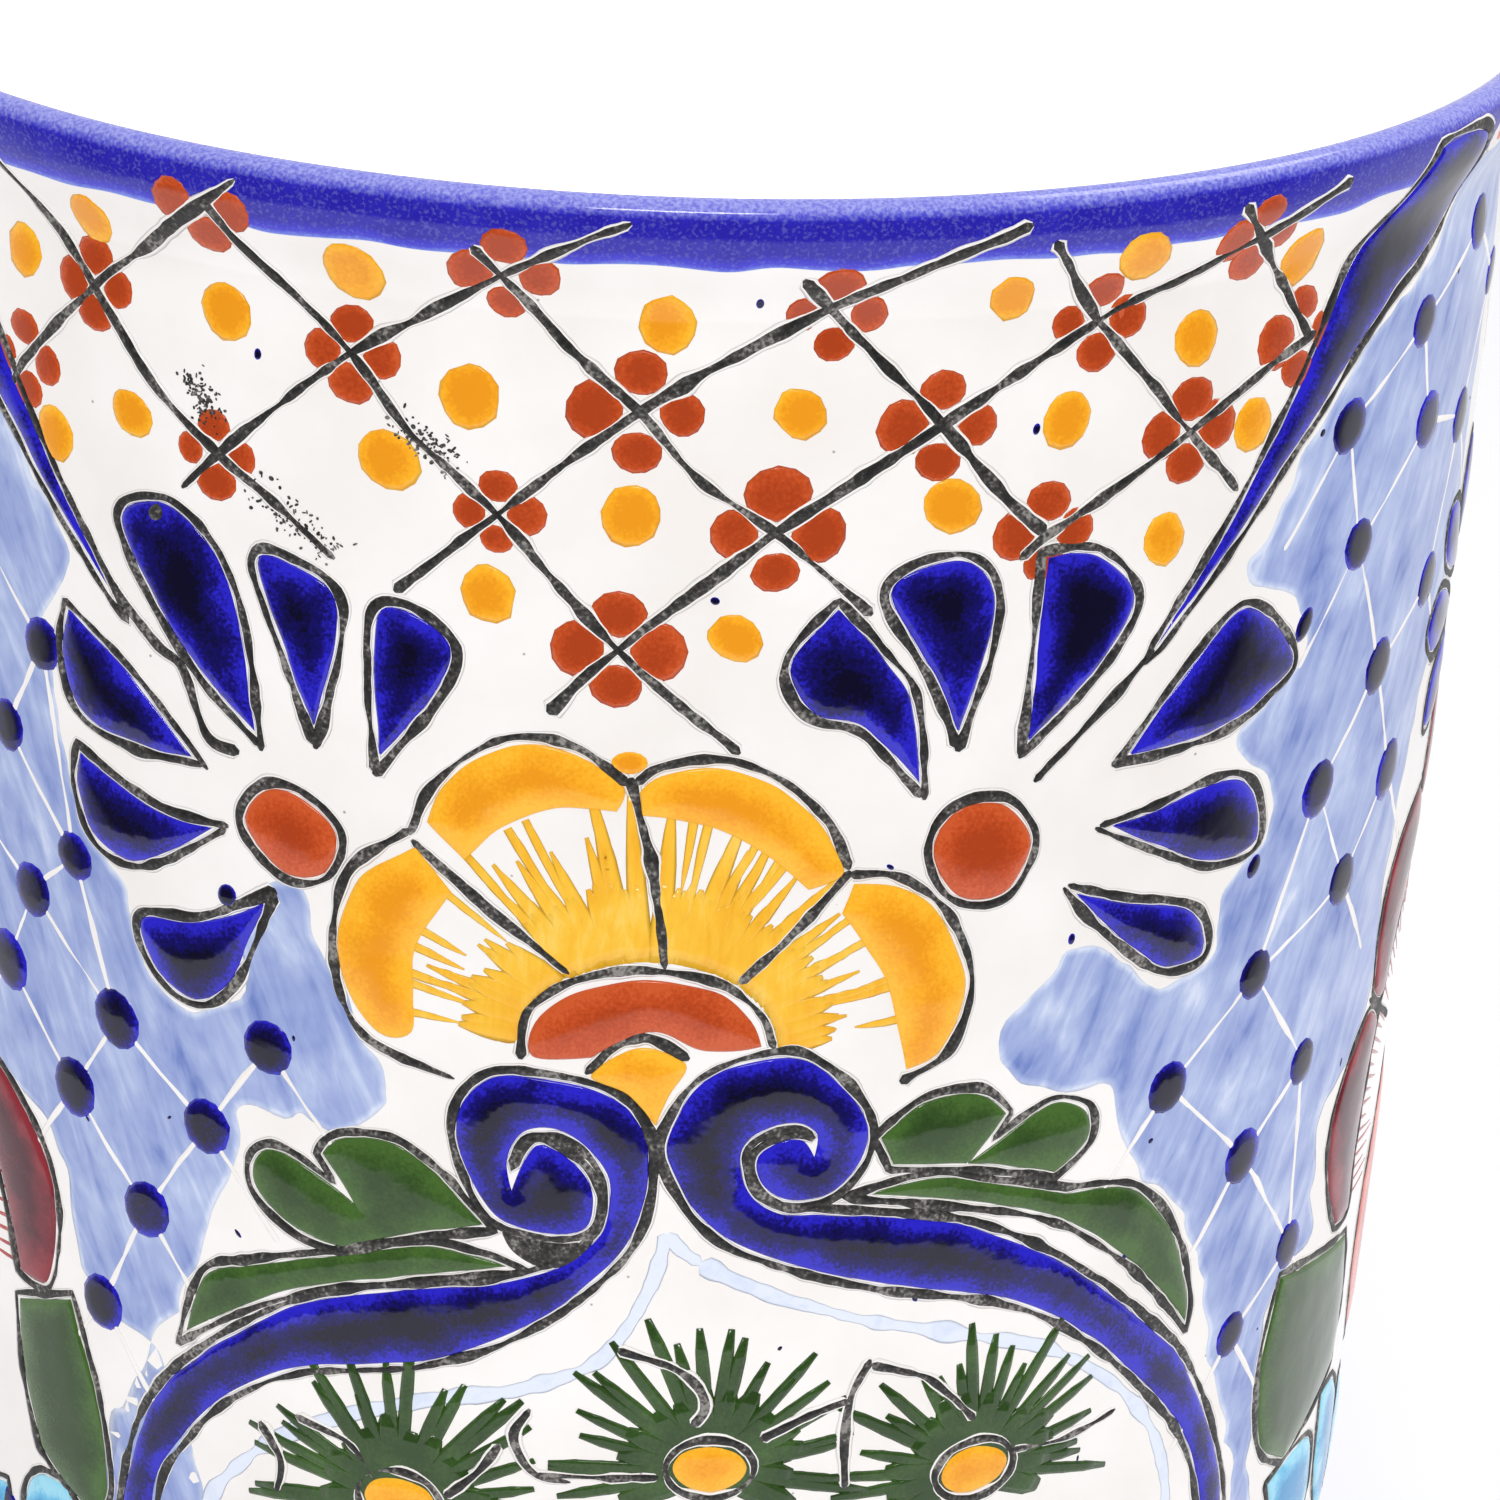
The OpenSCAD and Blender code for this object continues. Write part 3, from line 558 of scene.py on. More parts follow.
# %% Sections of the glaze
LIP_CENTRE = (RIM_R - LIP_R, VASE_H - LIP_R)
UNDER_BLUE = 8          # mm below the lip: the white glaze starts here, under the blue band
TUCK = 0.08             # mm: how far that hidden edge is sunk
STRAIGHT = 40           # mm below the lip: from here down the wall has no curve
BORE_DEPTH = 350        # mm: past the corner of the floor, where the section is cut
EDGE_WANDER = 1.2       # mm up and down, along the ragged lower edge of the blue band
EDGE_RIPPLES = 41       # small waves in that edge, round the vase
CREST_PALE = 3.5        # mm below the lip, painted paler: thin glaze and a painted reflection
EDGE_THIN = 2.4         # mm above the ragged edge, over which the blue is thin


def outer_section(angle):
    depths = np.concatenate([np.arange(UNDER_BLUE, GROOVE_END + 3, 1),
                             np.linspace(STRAIGHT, HEEL_TOP, 24)])
    skin = down_wall(depths, -TUCK * blend((depths - UNDER_BLUE) / 6))
    return np.concatenate([skin, (skin - [GLAZE_T, 0])[::-1]])


def wander(angle, seed, amount):
    """A smooth closed wobble round the vase."""
    return amount * noise.noise(Vector((9 * math.cos(angle), 9 * math.sin(angle), seed)))


def band_edge(angle):
    ripple = math.sin(EDGE_RIPPLES * angle + wander(angle, 7.7, 3))
    return BAND_H - 0.5 + wander(angle, 3.1, EDGE_WANDER) + 0.25 * ripple


def rim_section(angle):
    top = arc(LIP_CENTRE, LIP_R, 180, 0)
    below = down_wall(np.linspace(LIP_R, band_edge(angle), 14)[1:])
    inside = arc(LIP_CENTRE, LIP_R - GLAZE_T, 180, 0)
    return np.concatenate([top, below, (below - [0.4, 0])[::-1], inside[::-1]])


def rim_pool(ring):
    """Deep in the middle of the band, thin at its ragged lower edge and at the crest. The crest's
    paler colour is also a painted reflection of the lamps.
    """
    height = ring[:, 1]
    from_edge = np.clip((height - height.min()) / EDGE_THIN, 0, 1)
    return from_edge * np.clip((VASE_H + 0.6 - height) / CREST_PALE, 0.2, 1)


def bore_section(angle):
    depths = np.concatenate([np.arange(LIP_R, GROOVE_END + 2, 1.5),
                             np.linspace(STRAIGHT, BORE_DEPTH, 28)])
    corner_z = FLOOR_Z + FILLET_R
    wall = np.stack([bore_r(depths), VASE_H - depths], 1)
    corner = arc((bore_r(VASE_H - corner_z) - FILLET_R, corner_z), FILLET_R, 0, -90, 10)
    base = np.stack([np.linspace(corner[-1, 0], 0, 9)[1:], np.full(8, FLOOR_Z)], 1)
    skin = np.concatenate([wall[wall[:, 1] > corner_z], corner, base])
    backing = skin + [GLAZE_T * 0.8, -GLAZE_T * 0.8] * (skin[:, :1] > 0)
    backing[-1] = [0, FLOOR_Z - GLAZE_T * 0.8]
    return np.concatenate([skin, backing[::-1]])


def heel_section(angle):
    heel_h = VASE_H - HEEL_TOP - FOOT_Z
    heel = np.array([[FOOT_R + (HEEL_R - FOOT_R) * math.cos(a), FOOT_Z + heel_h * (1 - math.sin(a))]
                     for a in np.radians(np.linspace(0, 90, 19))])
    return np.concatenate([heel, (heel + [-GLAZE_T, 0.1])[::-1]])


# %% The glaze and the clay
turned_shell("white_glaze_outside", outer_section, tin_glaze, ["outer_glaze"])
turned_shell("white_glaze_inside", bore_section, tin_glaze, ["inner_glaze"])
turned_shell("blue_lip_band", rim_section, cobalt_glaze, ["rim_glaze"], 720,
             rim_pool)
turned_shell("blue_heel_band", heel_section, cobalt_glaze, ["heel_glaze"],
             pool=lambda ring: np.full(len(ring), 0.7))
for name in ("clay_floor", "wall_lower", "wall_middle", "wall_upper", "rim_coil"):
    clay_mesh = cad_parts[name].data
    clay_mesh.materials.clear()
    clay_mesh.materials.append(earthenware)

# %% [markdown]
# ## Raised fields
# Each enamel field is a closed blob with the outline that the painter filled. It could be a curve
# with a bevel, but a bevel rounds the edge of a plate and cannot pool. Here the outline is filled
# with points on a hexagonal grid, joined into triangles, and each point is lifted by how far it is
# from the edge: steep at first, then over a slow crown with swells in it, as thick glaze sets.

# %% Draw an outline
ENAMEL_H = 0.32         # mm: how far a field's shoulder stands off the glaze
SHOULDER = 1.2          # mm from the edge to the shoulder
CROWN_H = 0.5           # mm more, which the field gains slowly past its shoulder
CROWN_REACH = 8         # mm from the edge to where the crown is full
POOL_REACH = 6          # mm from the edge to where the colour is deepest
BED = 0.3               # mm: how deep a field is bedded in the glaze
SPACING = 1.5           # mm between the points that fill a field


def curve_points(a, b, bend_a, bend_b, step):
    """Points from a up to b, about step mm apart, on the smooth curve with these bends."""
    count = max(2, math.ceil(np.linalg.norm(b - a) / step))
    return [(2 * t ** 3 - 3 * t ** 2 + 1) * a + (t ** 3 - 2 * t ** 2 + t) * bend_a
            + (3 * t ** 2 - 2 * t ** 3) * b + (t ** 3 - t ** 2) * bend_b
            for t in np.arange(0, 1, 1 / count)]


def smooth_outline(points, step=1.0):
    """The closed outline through [mm round, mm below the lip] points; a third 1 makes a corner."""
    flat = np.array([(p[0], -p[1]) for p in points], float)
    count = len(flat)
    bends = [np.zeros(2) if len(points[i]) > 2 else (flat[(i + 1) % count] - flat[i - 1]) / 2
             for i in range(count)]
    line = []
    for i in range(count):
        after = (i + 1) % count
        line += curve_points(flat[i], flat[after], bends[i], bends[after], step)
    line = np.array(line)
    x, y = line[:, 0], line[:, 1]
    runs_left = np.sum(x * np.roll(y, -1) - np.roll(x, -1) * y) > 0
    return line if runs_left else line[::-1]


def edge_distance(outline, spots):
    """Each spot's distance to the outline, less than nothing outside it."""
    a, b = outline, np.roll(outline, -1, 0)
    along = b - a
    rise = spots[:, None] - a
    t = np.clip((rise * along).sum(2) / np.maximum((along ** 2).sum(1), 1e-12), 0, 1)
    gap = np.linalg.norm(rise - t[..., None] * along, axis=2).min(1)
    crosses = (a[:, 1] > spots[:, None, 1]) != (b[:, 1] > spots[:, None, 1])
    slope = np.where(np.abs(along[:, 1]) < 1e-12, 1e-12, along[:, 1])
    at = a[:, 0] + (spots[:, None, 1] - a[:, 1]) * along[:, 0] / slope
    inside = (crosses & (spots[:, None, 0] < at)).sum(1) % 2 == 1
    return np.where(inside, gap, -gap)


def shaky(outline, seed, amount):
    """The outline as a hand draws it, moved by a slow noise."""
    drift = [noise.noise_vector(Vector((x / 7, y / 7, seed))) for x, y in outline]
    return outline + amount * np.array([(v.x, v.y) for v in drift])


def outward(outline):
    """Directions out of the outline at its points, longer at a corner so that sides stay level."""
    ahead = np.roll(outline, -1, 0) - outline
    ahead /= np.maximum(np.linalg.norm(ahead, axis=1, keepdims=True), 1e-9)
    before = np.roll(ahead, 1, 0)
    out = np.stack([ahead[:, 1] + before[:, 1], -ahead[:, 0] - before[:, 0]], 1)
    size = np.linalg.norm(out, axis=1, keepdims=True)
    return out / np.maximum(size, 1e-6) * np.minimum(2 / np.maximum(size, 1e-6), 3.5)


print(f"A field stands {ENAMEL_H + CROWN_H:.2f} mm off the glaze at its thickest")

# %% Fill an outline
RING_PLACES = (0.3, 0.75)       # of the shoulder: two rings of points that make it round


def hex_grid(low, high, spacing):
    rows = np.arange(low[1], high[1], spacing * 0.866)
    columns = np.arange(low[0], high[0], spacing)
    return np.array([(x + (i % 2) * spacing / 2, y) for i, y in enumerate(rows) for x in columns]
                    ).reshape(-1, 2)


def blob(outline, height, shoulder, spacing, swell, crown):
    """Points, triangles and pool values of one closed raised field."""
    inner = []
    for place in RING_PLACES:
        ring = outline - outward(outline) * (place * shoulder)
        inner.append(ring[edge_distance(outline, ring) > 0.85 * (place * shoulder)])
    grid = hex_grid(outline.min(0), outline.max(0), spacing)
    inner.append(grid[edge_distance(outline, grid) > shoulder])
    spots = np.concatenate([outline] + inner)
    rim = [(i, (i + 1) % len(outline)) for i in range(len(outline))]
    flat, _, faces, *_ = geometry.delaunay_2d_cdt([Vector(p) for p in spots], rim, [], 1, 1e-5)
    flat = np.array([(v.x, v.y) for v in flat])
    gap = np.maximum(edge_distance(outline, flat), 0)
    gap[gap < 0.02] = 0
    lift = height * np.sqrt(1 - (1 - np.minimum(gap / shoulder, 1)) ** 2)
    lift += crown * (1 - (1 - np.minimum(gap / CROWN_REACH, 1)) ** 2)
    lift += swell * np.minimum(gap / shoulder, 1) * np.array(
        [noise.noise(Vector((x / 6, y / 6, 5))) for x, y in flat])
    top = np.column_stack([flat, lift])
    under = np.column_stack([flat, np.full(len(flat), -BED)])
    count = len(flat)
    sides = dict.fromkeys(edge for a, b, c in faces for edge in ((a, b), (b, c), (c, a)))
    walls = [(b, a, a + count, b + count) for a, b in sides if (b, a) not in sides]
    below = [(c + count, b + count, a + count) for a, b, c in faces]
    return np.concatenate([top, under]), [tuple(f) for f in faces] + below + walls, gap


def raised_fields(name, outlines, material, nodes, height=ENAMEL_H, seed=1,
                  shoulder=SHOULDER, spacing=SPACING, shake=0.35, swell=0.05,
                  pool_reach=POOL_REACH, crown=CROWN_H):
    """One piece of all the outlines, filled with enamel and rolled round the wall."""
    places, faces, pools = [], [], []
    start = 0
    for outline in outlines:
        drawn = shaky(outline, seed, shake)
        spots, tris, gap = blob(drawn, height, shoulder, spacing, swell, crown)
        places.append(spots)
        faces += [tuple(start + v for v in face) for face in tris]
        pools.append(np.tile(np.clip(gap / pool_reach, 0, 1), 2))
        start += len(spots)
    mesh = bpy.data.meshes.new(name)
    mesh.from_pydata(np.concatenate(places).tolist(), [], faces)
    set_pool(mesh, np.concatenate(pools))
    rolled(mesh)
    mesh.shade_smooth()
    return finish_piece(name, mesh, nodes, material)


def moved(outlines, along=0.0, lean=0.0):
    """Outlines or lines carried round the wall; lean slides them by their depth."""
    return [line + np.column_stack([along + lean * (-line[:, 1] - LEAN_FROM), np.zeros(len(line))])
            for line in outlines]


def mirrored(shapes, about=0):
    return [[(2 * about - p[0], *p[1:]) for p in shape] for shape in shapes]


# %% [markdown]
# ## Brush lines by Geometry Nodes
# A brush line is one path with a swelling, shaking width, so it suits Geometry Nodes: the tree
# resamples the path, shakes it, varies its radius and sweeps a flat lens along it. The same tree
# lays the white hairline that the glaze leaves round the black: it is the same path and the same
# seed, a little wider and lower. The result is made a plain mesh and rolled round the wall.

# %% Start and end a tree


def new_tree(name, **inputs):
    """A Geometry Nodes tree with named inputs; each is a kind of socket or a default number."""
    tree = bpy.data.node_groups.new(name, "GeometryNodeTree")
    tree.interface.new_socket("Geometry", in_out="OUTPUT", socket_type="NodeSocketGeometry")
    tree.interface.new_socket("Geometry", in_out="INPUT", socket_type="NodeSocketGeometry")
    for label, value in inputs.items():
        kind = value if isinstance(value, str) else (
            "NodeSocketInt" if isinstance(value, int) else "NodeSocketFloat")
        made = tree.interface.new_socket(label.replace("_", " "), in_out="INPUT", socket_type=kind)
        if not isinstance(value, str):
            made.default_value = value
    return tree, node(tree, "NodeGroupInput").outputs


def end_tree(tree, shape, material):
    """Every tree ends by realizing, smoothing and naming its material."""
    real = node(tree, "GeometryNodeRealizeInstances", {"Geometry": shape})
    smooth = node(tree, "GeometryNodeSetShadeSmooth", {"Geometry": real.outputs[0]})
    painted = node(tree, "GeometryNodeSetMaterial",
                   {"Geometry": smooth.outputs[0], "Material": material})
    node(tree, "NodeGroupOutput", {"Geometry": painted.outputs[0]})


def shaken(tree, size, seed, amount):
    """Vectors of smooth noise round zero, at the paper's scale."""
    spot = node(tree, "GeometryNodeInputPosition").outputs[0]
    shift = node(tree, "ShaderNodeCombineXYZ", {"Z": seed}).outputs[0]
    slid = node(tree, "ShaderNodeVectorMath", {0: spot, 1: shift}, operation="ADD").outputs[0]
    cloud = node(tree, "ShaderNodeTexNoise", {"Vector": slid, "Scale": 1 / size, "Detail": 2})
    centred = node(tree, "ShaderNodeVectorMath",
                   {0: cloud.outputs["Color"], 1: (0.5, 0.5, 0.5)}, operation="SUBTRACT")
    flat = node(tree, "ShaderNodeVectorMath",
                {0: centred.outputs[0], 1: (1, 1, 0)}, operation="MULTIPLY")
    shake = node(tree, "ShaderNodeVectorMath",
                 {0: flat.outputs[0], "Scale": amount}, operation="SCALE")
    return shake.outputs[0], cloud.outputs["Fac"]


# %% The brush tree
THINNEST = 0.45         # of a line's own width, where the brush is nearly dry
brush_tree, given = new_tree("brush_line", Half_width=0.9, Height=0.3, Step=0.9, Shake=0.7,
                             Swell=2.6, Seed=1.0, Material="NodeSocketMaterial")
even = node(brush_tree, "GeometryNodeResampleCurve",
            {"Curve": given["Geometry"], "Length": given["Step"]}, mode="LENGTH")
drift, _ = shaken(brush_tree, 7, given["Seed"], given["Shake"])
path = node(brush_tree, "GeometryNodeSetPosition", {"Geometry": even.outputs[0], "Offset": drift})
_, swelling = shaken(brush_tree, 8, given["Seed"], 1.0)
off_middle = node(brush_tree, "ShaderNodeMath", {0: swelling, 1: 0.5}, operation="SUBTRACT")
wild_width = node(brush_tree, "ShaderNodeMath",
                  {0: off_middle.outputs[0], 1: given["Swell"], 2: 1.0}, operation="MULTIPLY_ADD")
width = node(brush_tree, "ShaderNodeMath", {0: wild_width.outputs[0], 1: THINNEST},
             operation="MAXIMUM")
radius = node(brush_tree, "GeometryNodeInputRadius")
thick = node(brush_tree, "ShaderNodeMath", {0: width.outputs[0], 1: radius.outputs[0]},
             operation="MULTIPLY")
lens = node(brush_tree, "GeometryNodeCurvePrimitiveCircle", {"Resolution": 8, "Radius": 1.0})
lens_size = node(brush_tree, "ShaderNodeCombineXYZ",
                 {"X": given["Half width"], "Y": given["Height"], "Z": 1.0})
flat_lens = node(brush_tree, "GeometryNodeTransform",
                 {"Geometry": lens.outputs["Curve"], "Scale": lens_size.outputs[0]})
swept = node(brush_tree, "GeometryNodeCurveToMesh",
             {"Curve": path.outputs[0], "Profile Curve": flat_lens.outputs[0],
              "Scale": thick.outputs[0], "Fill Caps": True})
end_tree(brush_tree, swept.outputs[0], given["Material"])
print(f"The brush tree has {len(brush_tree.nodes)} nodes")

# %% Lay strokes along paths
BLUNT = 0.9             # mm from a line's end to where its small blob is widest


def grown(tree, source, **settings):
    """Runs a tree on an object and gives its result as a plain mesh; the object goes."""
    bpy.context.scene.collection.objects.link(source)
    modifier = source.modifiers.new(tree.name, "NODES")
    modifier.node_group = tree
    for item in tree.interface.items_tree:
        label = item.name.replace(" ", "_")
        if item.in_out == "INPUT" and label in settings:
            modifier[item.identifier] = settings[label]
    ready = source.evaluated_get(bpy.context.evaluated_depsgraph_get())
    mesh = bpy.data.meshes.new_from_object(ready)
    source.modifiers.remove(modifier)
    bpy.data.objects.remove(source)
    return mesh


def paths_object(lines, closed):
    """A curve object of poly paths. An open path starts and ends in a small blunt blob."""
    curve = bpy.data.curves.new("paths", "CURVE")
    curve.dimensions = "3D"
    for line, ring in zip(lines, closed):
        line = np.asarray(line, float)
        radii = np.ones(len(line))
        if not ring:
            out, back = line[1] - line[0], line[-2] - line[-1]
            first = line[0] + out * min(1, BLUNT / np.linalg.norm(out))
            last = line[-1] + back * min(1, BLUNT / np.linalg.norm(back))
            line = np.concatenate([line[:1], [first], line[1:-1], [last], line[-1:]])
            radii = np.concatenate([[0.4, 1.1], np.ones(len(line) - 4), [1.05, 0.35]])
        spline = curve.splines.new("POLY")
        spline.points.add(len(line) - 1)
        spline.points.foreach_set("co", np.column_stack(
            [line, np.zeros(len(line)), np.ones(len(line))]).ravel())
        spline.points.foreach_set("radius", radii)
        spline.use_cyclic_u = bool(ring)
    return bpy.data.objects.new("paths", curve)


def strokes(name, lines, closed, material, slot, half_width, height, seed=1.0, **settings):
    """One piece of brush strokes along flat paths."""
    mesh = grown(brush_tree, paths_object(lines, closed), Half_width=half_width, Height=height,
                 Seed=float(seed), Material=material, **settings)
    rolled(mesh)
    return finish_piece(name, mesh)


def smooth_path(points, step=1.0):
    """An open smooth path through [mm round, mm below the lip] points."""
    flat = np.array([(p[0], -p[1]) for p in points], float)
    bends = np.gradient(flat, axis=0)
    line = []
    for a, b, bend_a, bend_b in zip(flat[:-1], flat[1:], bends[:-1], bends[1:]):
        line += curve_points(a, b, bend_a, bend_b, step)
    return np.array(line + [flat[-1]])


PEN_GAP = 1.02          # mm from a field's edge to the middle of its black line


def pen_round(outline, gap=PEN_GAP):
    """The black line that follows a field just outside its edge."""
    line = outline + outward(outline) * gap
    clear = -edge_distance(outline, line) > 0.8 * gap
    return line[clear]


# %% [markdown]
# ## Small repeated touches
# Drops, dabs, dots, leaves and rays are one touch of the brush each, repeated by the hundred.
# One tree sets a small unit shape on every point, turned and sized by the point's own values,
# varied a little by a fixed seed, and then frays the edges with noise as wet glaze does.

# %% The touch tree
touch_tree, given = new_tree("brush_touch", Shape="NodeSocketObject", Vary=0.12, Sway=0.12,
                             Ragged=0.3, Grain=3.0, Seed=1, Material="NodeSocketMaterial")
turn = node(touch_tree, "GeometryNodeInputNamedAttribute", {"Name": "turn"}, data_type="FLOAT")
size = node(touch_tree, "GeometryNodeInputNamedAttribute", {"Name": "size"},
            data_type="FLOAT_VECTOR")
least = node(touch_tree, "ShaderNodeMath", {0: 1.0, 1: given["Vary"]}, operation="SUBTRACT")
most = node(touch_tree, "ShaderNodeMath", {0: 1.0, 1: given["Vary"]}, operation="ADD")
bigger = node(touch_tree, "FunctionNodeRandomValue",
              {2: least.outputs[0], 3: most.outputs[0], "Seed": given["Seed"]}, data_type="FLOAT")
scaled = node(touch_tree, "ShaderNodeVectorMath",
              {0: size.outputs[0], "Scale": bigger.outputs[1]}, operation="SCALE")
back_sway = node(touch_tree, "ShaderNodeMath", {0: given["Sway"], 1: -1.0}, operation="MULTIPLY")
swung = node(touch_tree, "FunctionNodeRandomValue",
             {2: back_sway.outputs[0], 3: given["Sway"],
              "Seed": node(touch_tree, "ShaderNodeMath", {0: given["Seed"], 1: 7.0},
                           operation="ADD").outputs[0]}, data_type="FLOAT")
angle = node(touch_tree, "ShaderNodeMath", {0: turn.outputs[0], 1: swung.outputs[1]},
             operation="ADD")
euler = node(touch_tree, "ShaderNodeCombineXYZ", {"Z": angle.outputs[0]})
rotation = node(touch_tree, "FunctionNodeEulerToRotation", {"Euler": euler.outputs[0]})
shape = node(touch_tree, "GeometryNodeObjectInfo", {"Object": given["Shape"]})
dots = node(touch_tree, "GeometryNodeMeshToPoints", {"Mesh": given["Geometry"]})
touches = node(touch_tree, "GeometryNodeInstanceOnPoints",
               {"Points": dots.outputs[0], "Instance": shape.outputs["Geometry"],
                "Rotation": rotation.outputs[0], "Scale": scaled.outputs[0]})
loose = node(touch_tree, "GeometryNodeRealizeInstances", {"Geometry": touches.outputs[0]})
fray, _ = shaken(touch_tree, 2.2, given["Grain"], given["Ragged"])
frayed = node(touch_tree, "GeometryNodeSetPosition", {"Geometry": loose.outputs[0], "Offset": fray})
end_tree(touch_tree, frayed.outputs[0], given["Material"])
print(f"The touch tree has {len(touch_tree.nodes)} nodes")

# %% Shapes for the touch tree
BEAD_RINGS = ((0.5, 0.95), (0.86, 0.6), (1, 0), (0.97, -1))     # reach and lift, from the top down
BEAD_SIDES = 14


def unit_object(name, spots, faces, pools):
    """A small object for the tree to repeat; it goes when the last touch is laid."""
    mesh = bpy.data.meshes.new(name)
    mesh.from_pydata(spots, [], faces)
    set_pool(mesh, pools)
    made = bpy.data.objects.new(name, mesh)
    scene.collection.objects.link(made)
    print(f"{name}: {len(faces)} faces")
    return made


def round_shape(name, drawn_out=0.0):
    """A closed round blob of radius 1, with its last ring under the glaze; one end may be drawn
    out, as a drop's is."""
    angles = np.arange(BEAD_SIDES) * 2 * math.pi / BEAD_SIDES
    rings = [[(r * math.cos(a), r * math.sin(a), lift)
              for r, a in zip(reach * (1 - drawn_out * np.cos(angles)), angles)]
             for reach, lift in BEAD_RINGS]
    spots = [(np.mean([p[0] for p in rings[0]]), 0, 1)] + [p for ring in rings for p in ring]
    faces = [(0, 1 + k, 1 + (k + 1) % BEAD_SIDES) for k in range(BEAD_SIDES)]
    for i in range(len(rings) - 1):
        here, below = 1 + i * BEAD_SIDES, 1 + (i + 1) * BEAD_SIDES
        faces += [(here + k, below + k, below + (k + 1) % BEAD_SIDES, here + (k + 1) % BEAD_SIDES)
                  for k in range(BEAD_SIDES)]
    last = 1 + (len(rings) - 1) * BEAD_SIDES
    faces.append(tuple(range(last + BEAD_SIDES - 1, last - 1, -1)))
    pools = [1.0] + [v for v in (0.9, 0.35, 0.05, 0.0) for _ in range(BEAD_SIDES)]
    return unit_object(name, spots, faces, pools)


def spike_shape(name, widths):
    """A closed pointed stroke along x from 0 to 1, with a low ridge along it."""
    stations = np.linspace(0, 1, len(widths))
    spots = []
    for x, w in zip(stations, widths):
        spots += [(x, w, 0), (x, w * 0.5, 0.8), (x, -w * 0.5, 0.8), (x, -w, 0), (x, 0, -1)]
    faces = [tuple(range(5)), tuple(range(len(spots) - 1, len(spots) - 6, -1))]
    for i in range(len(widths) - 1):
        faces += [(5 * i + k, 5 * i + 5 + k, 5 * i + 5 + (k + 1) % 5, 5 * i + (k + 1) % 5)
                  for k in range(5)]
    return unit_object(name, spots, faces, [0.1, 0.7, 0.7, 0.1, 0] * len(widths))


bead = round_shape("bead")
pear = round_shape("pear", 0.2)
leaf = spike_shape("leaf", [0.5, 0.8, 0.95, 1, 0.95, 0.85, 0.45])
hair = spike_shape("hair", [0.85, 1, 0.95, 0.8, 0.55, 0.2])

# %% Lay touches


def touched(name, spots, shape_object, material, nodes=(), seed=1, vary=0.12, sway=0.12,
            ragged=0.3):
    """One piece of touches; each spot is (x, y, turn, length, width, height) on the paper."""
    spots = np.asarray(spots, float)
    mesh = bpy.data.meshes.new(name)
    mesh.from_pydata([(x, y, 0) for x, y in spots[:, :2]], [], [])
    turns = mesh.attributes.new("turn", "FLOAT", "POINT")
    turns.data.foreach_set("value", spots[:, 2])
    sizes = mesh.attributes.new("size", "FLOAT_VECTOR", "POINT")
    sizes.data.foreach_set("vector", spots[:, 3:].ravel())
    made = grown(touch_tree, bpy.data.objects.new(name + "_spots", mesh), Shape=shape_object,
                 Vary=vary, Sway=sway, Ragged=ragged, Seed=seed, Material=material)
    rolled(made)
    return finish_piece(name, made, nodes)


# %% [markdown]
# ## The front panel's drawing
# These are the painter's own shapes, as points in mm round the wall and mm below the lip.
# A lattice hangs from the lip between two blue ribbons. Under it are two fans of blue petals, half
# a sunflower, and a pair of scrolls with leaves, which frame a white panel of spiky plants.

# %% Outlines of the front panel
SUNFLOWER_PETALS = [
    [(-35.5, 109, 1), (-45, 116), (-48.5, 126), (-47, 136), (-41.5, 142.5), (-36.5, 141.5),
     (-36, 134), (-35.5, 126), (-30, 116, 1)],
    [(-34, 104.5, 1), (-31.5, 98), (-25, 92), (-17.5, 89.5), (-10, 91), (-3.5, 95.5),
     (-4.5, 100, 1), (-14, 100), (-22, 104), (-28, 110.5, 1)],
    [(-1, 96.5, 1), (2.5, 93.5), (11, 92), (20, 95.5), (27.5, 102.5), (31.5, 110.5),
     (26, 113, 1), (19, 107), (10, 102), (-0.5, 100.5, 1)],
    [(33, 112.5, 1), (40.5, 113.5), (47.5, 119), (52.5, 129), (52.5, 137), (49, 144), (44, 146, 1),
     (42, 138), (38, 127), (31.5, 117.5, 1)]]
SUNFLOWER_RING = [
    [(-16.5, 143), (-15.5, 136), (-9, 131), (1.5, 128.5), (12, 130.5), (18, 135.5), (20, 140, 1),
     (11, 141), (2, 137.5), (-7, 142.5, 1)]]
SUNFLOWER_HEART = [[(-7, 146), (-2.5, 141.5), (2, 140.5), (8, 143.5), (5.5, 149), (3.4, 154.5, 1),
                    (-1, 149)]]
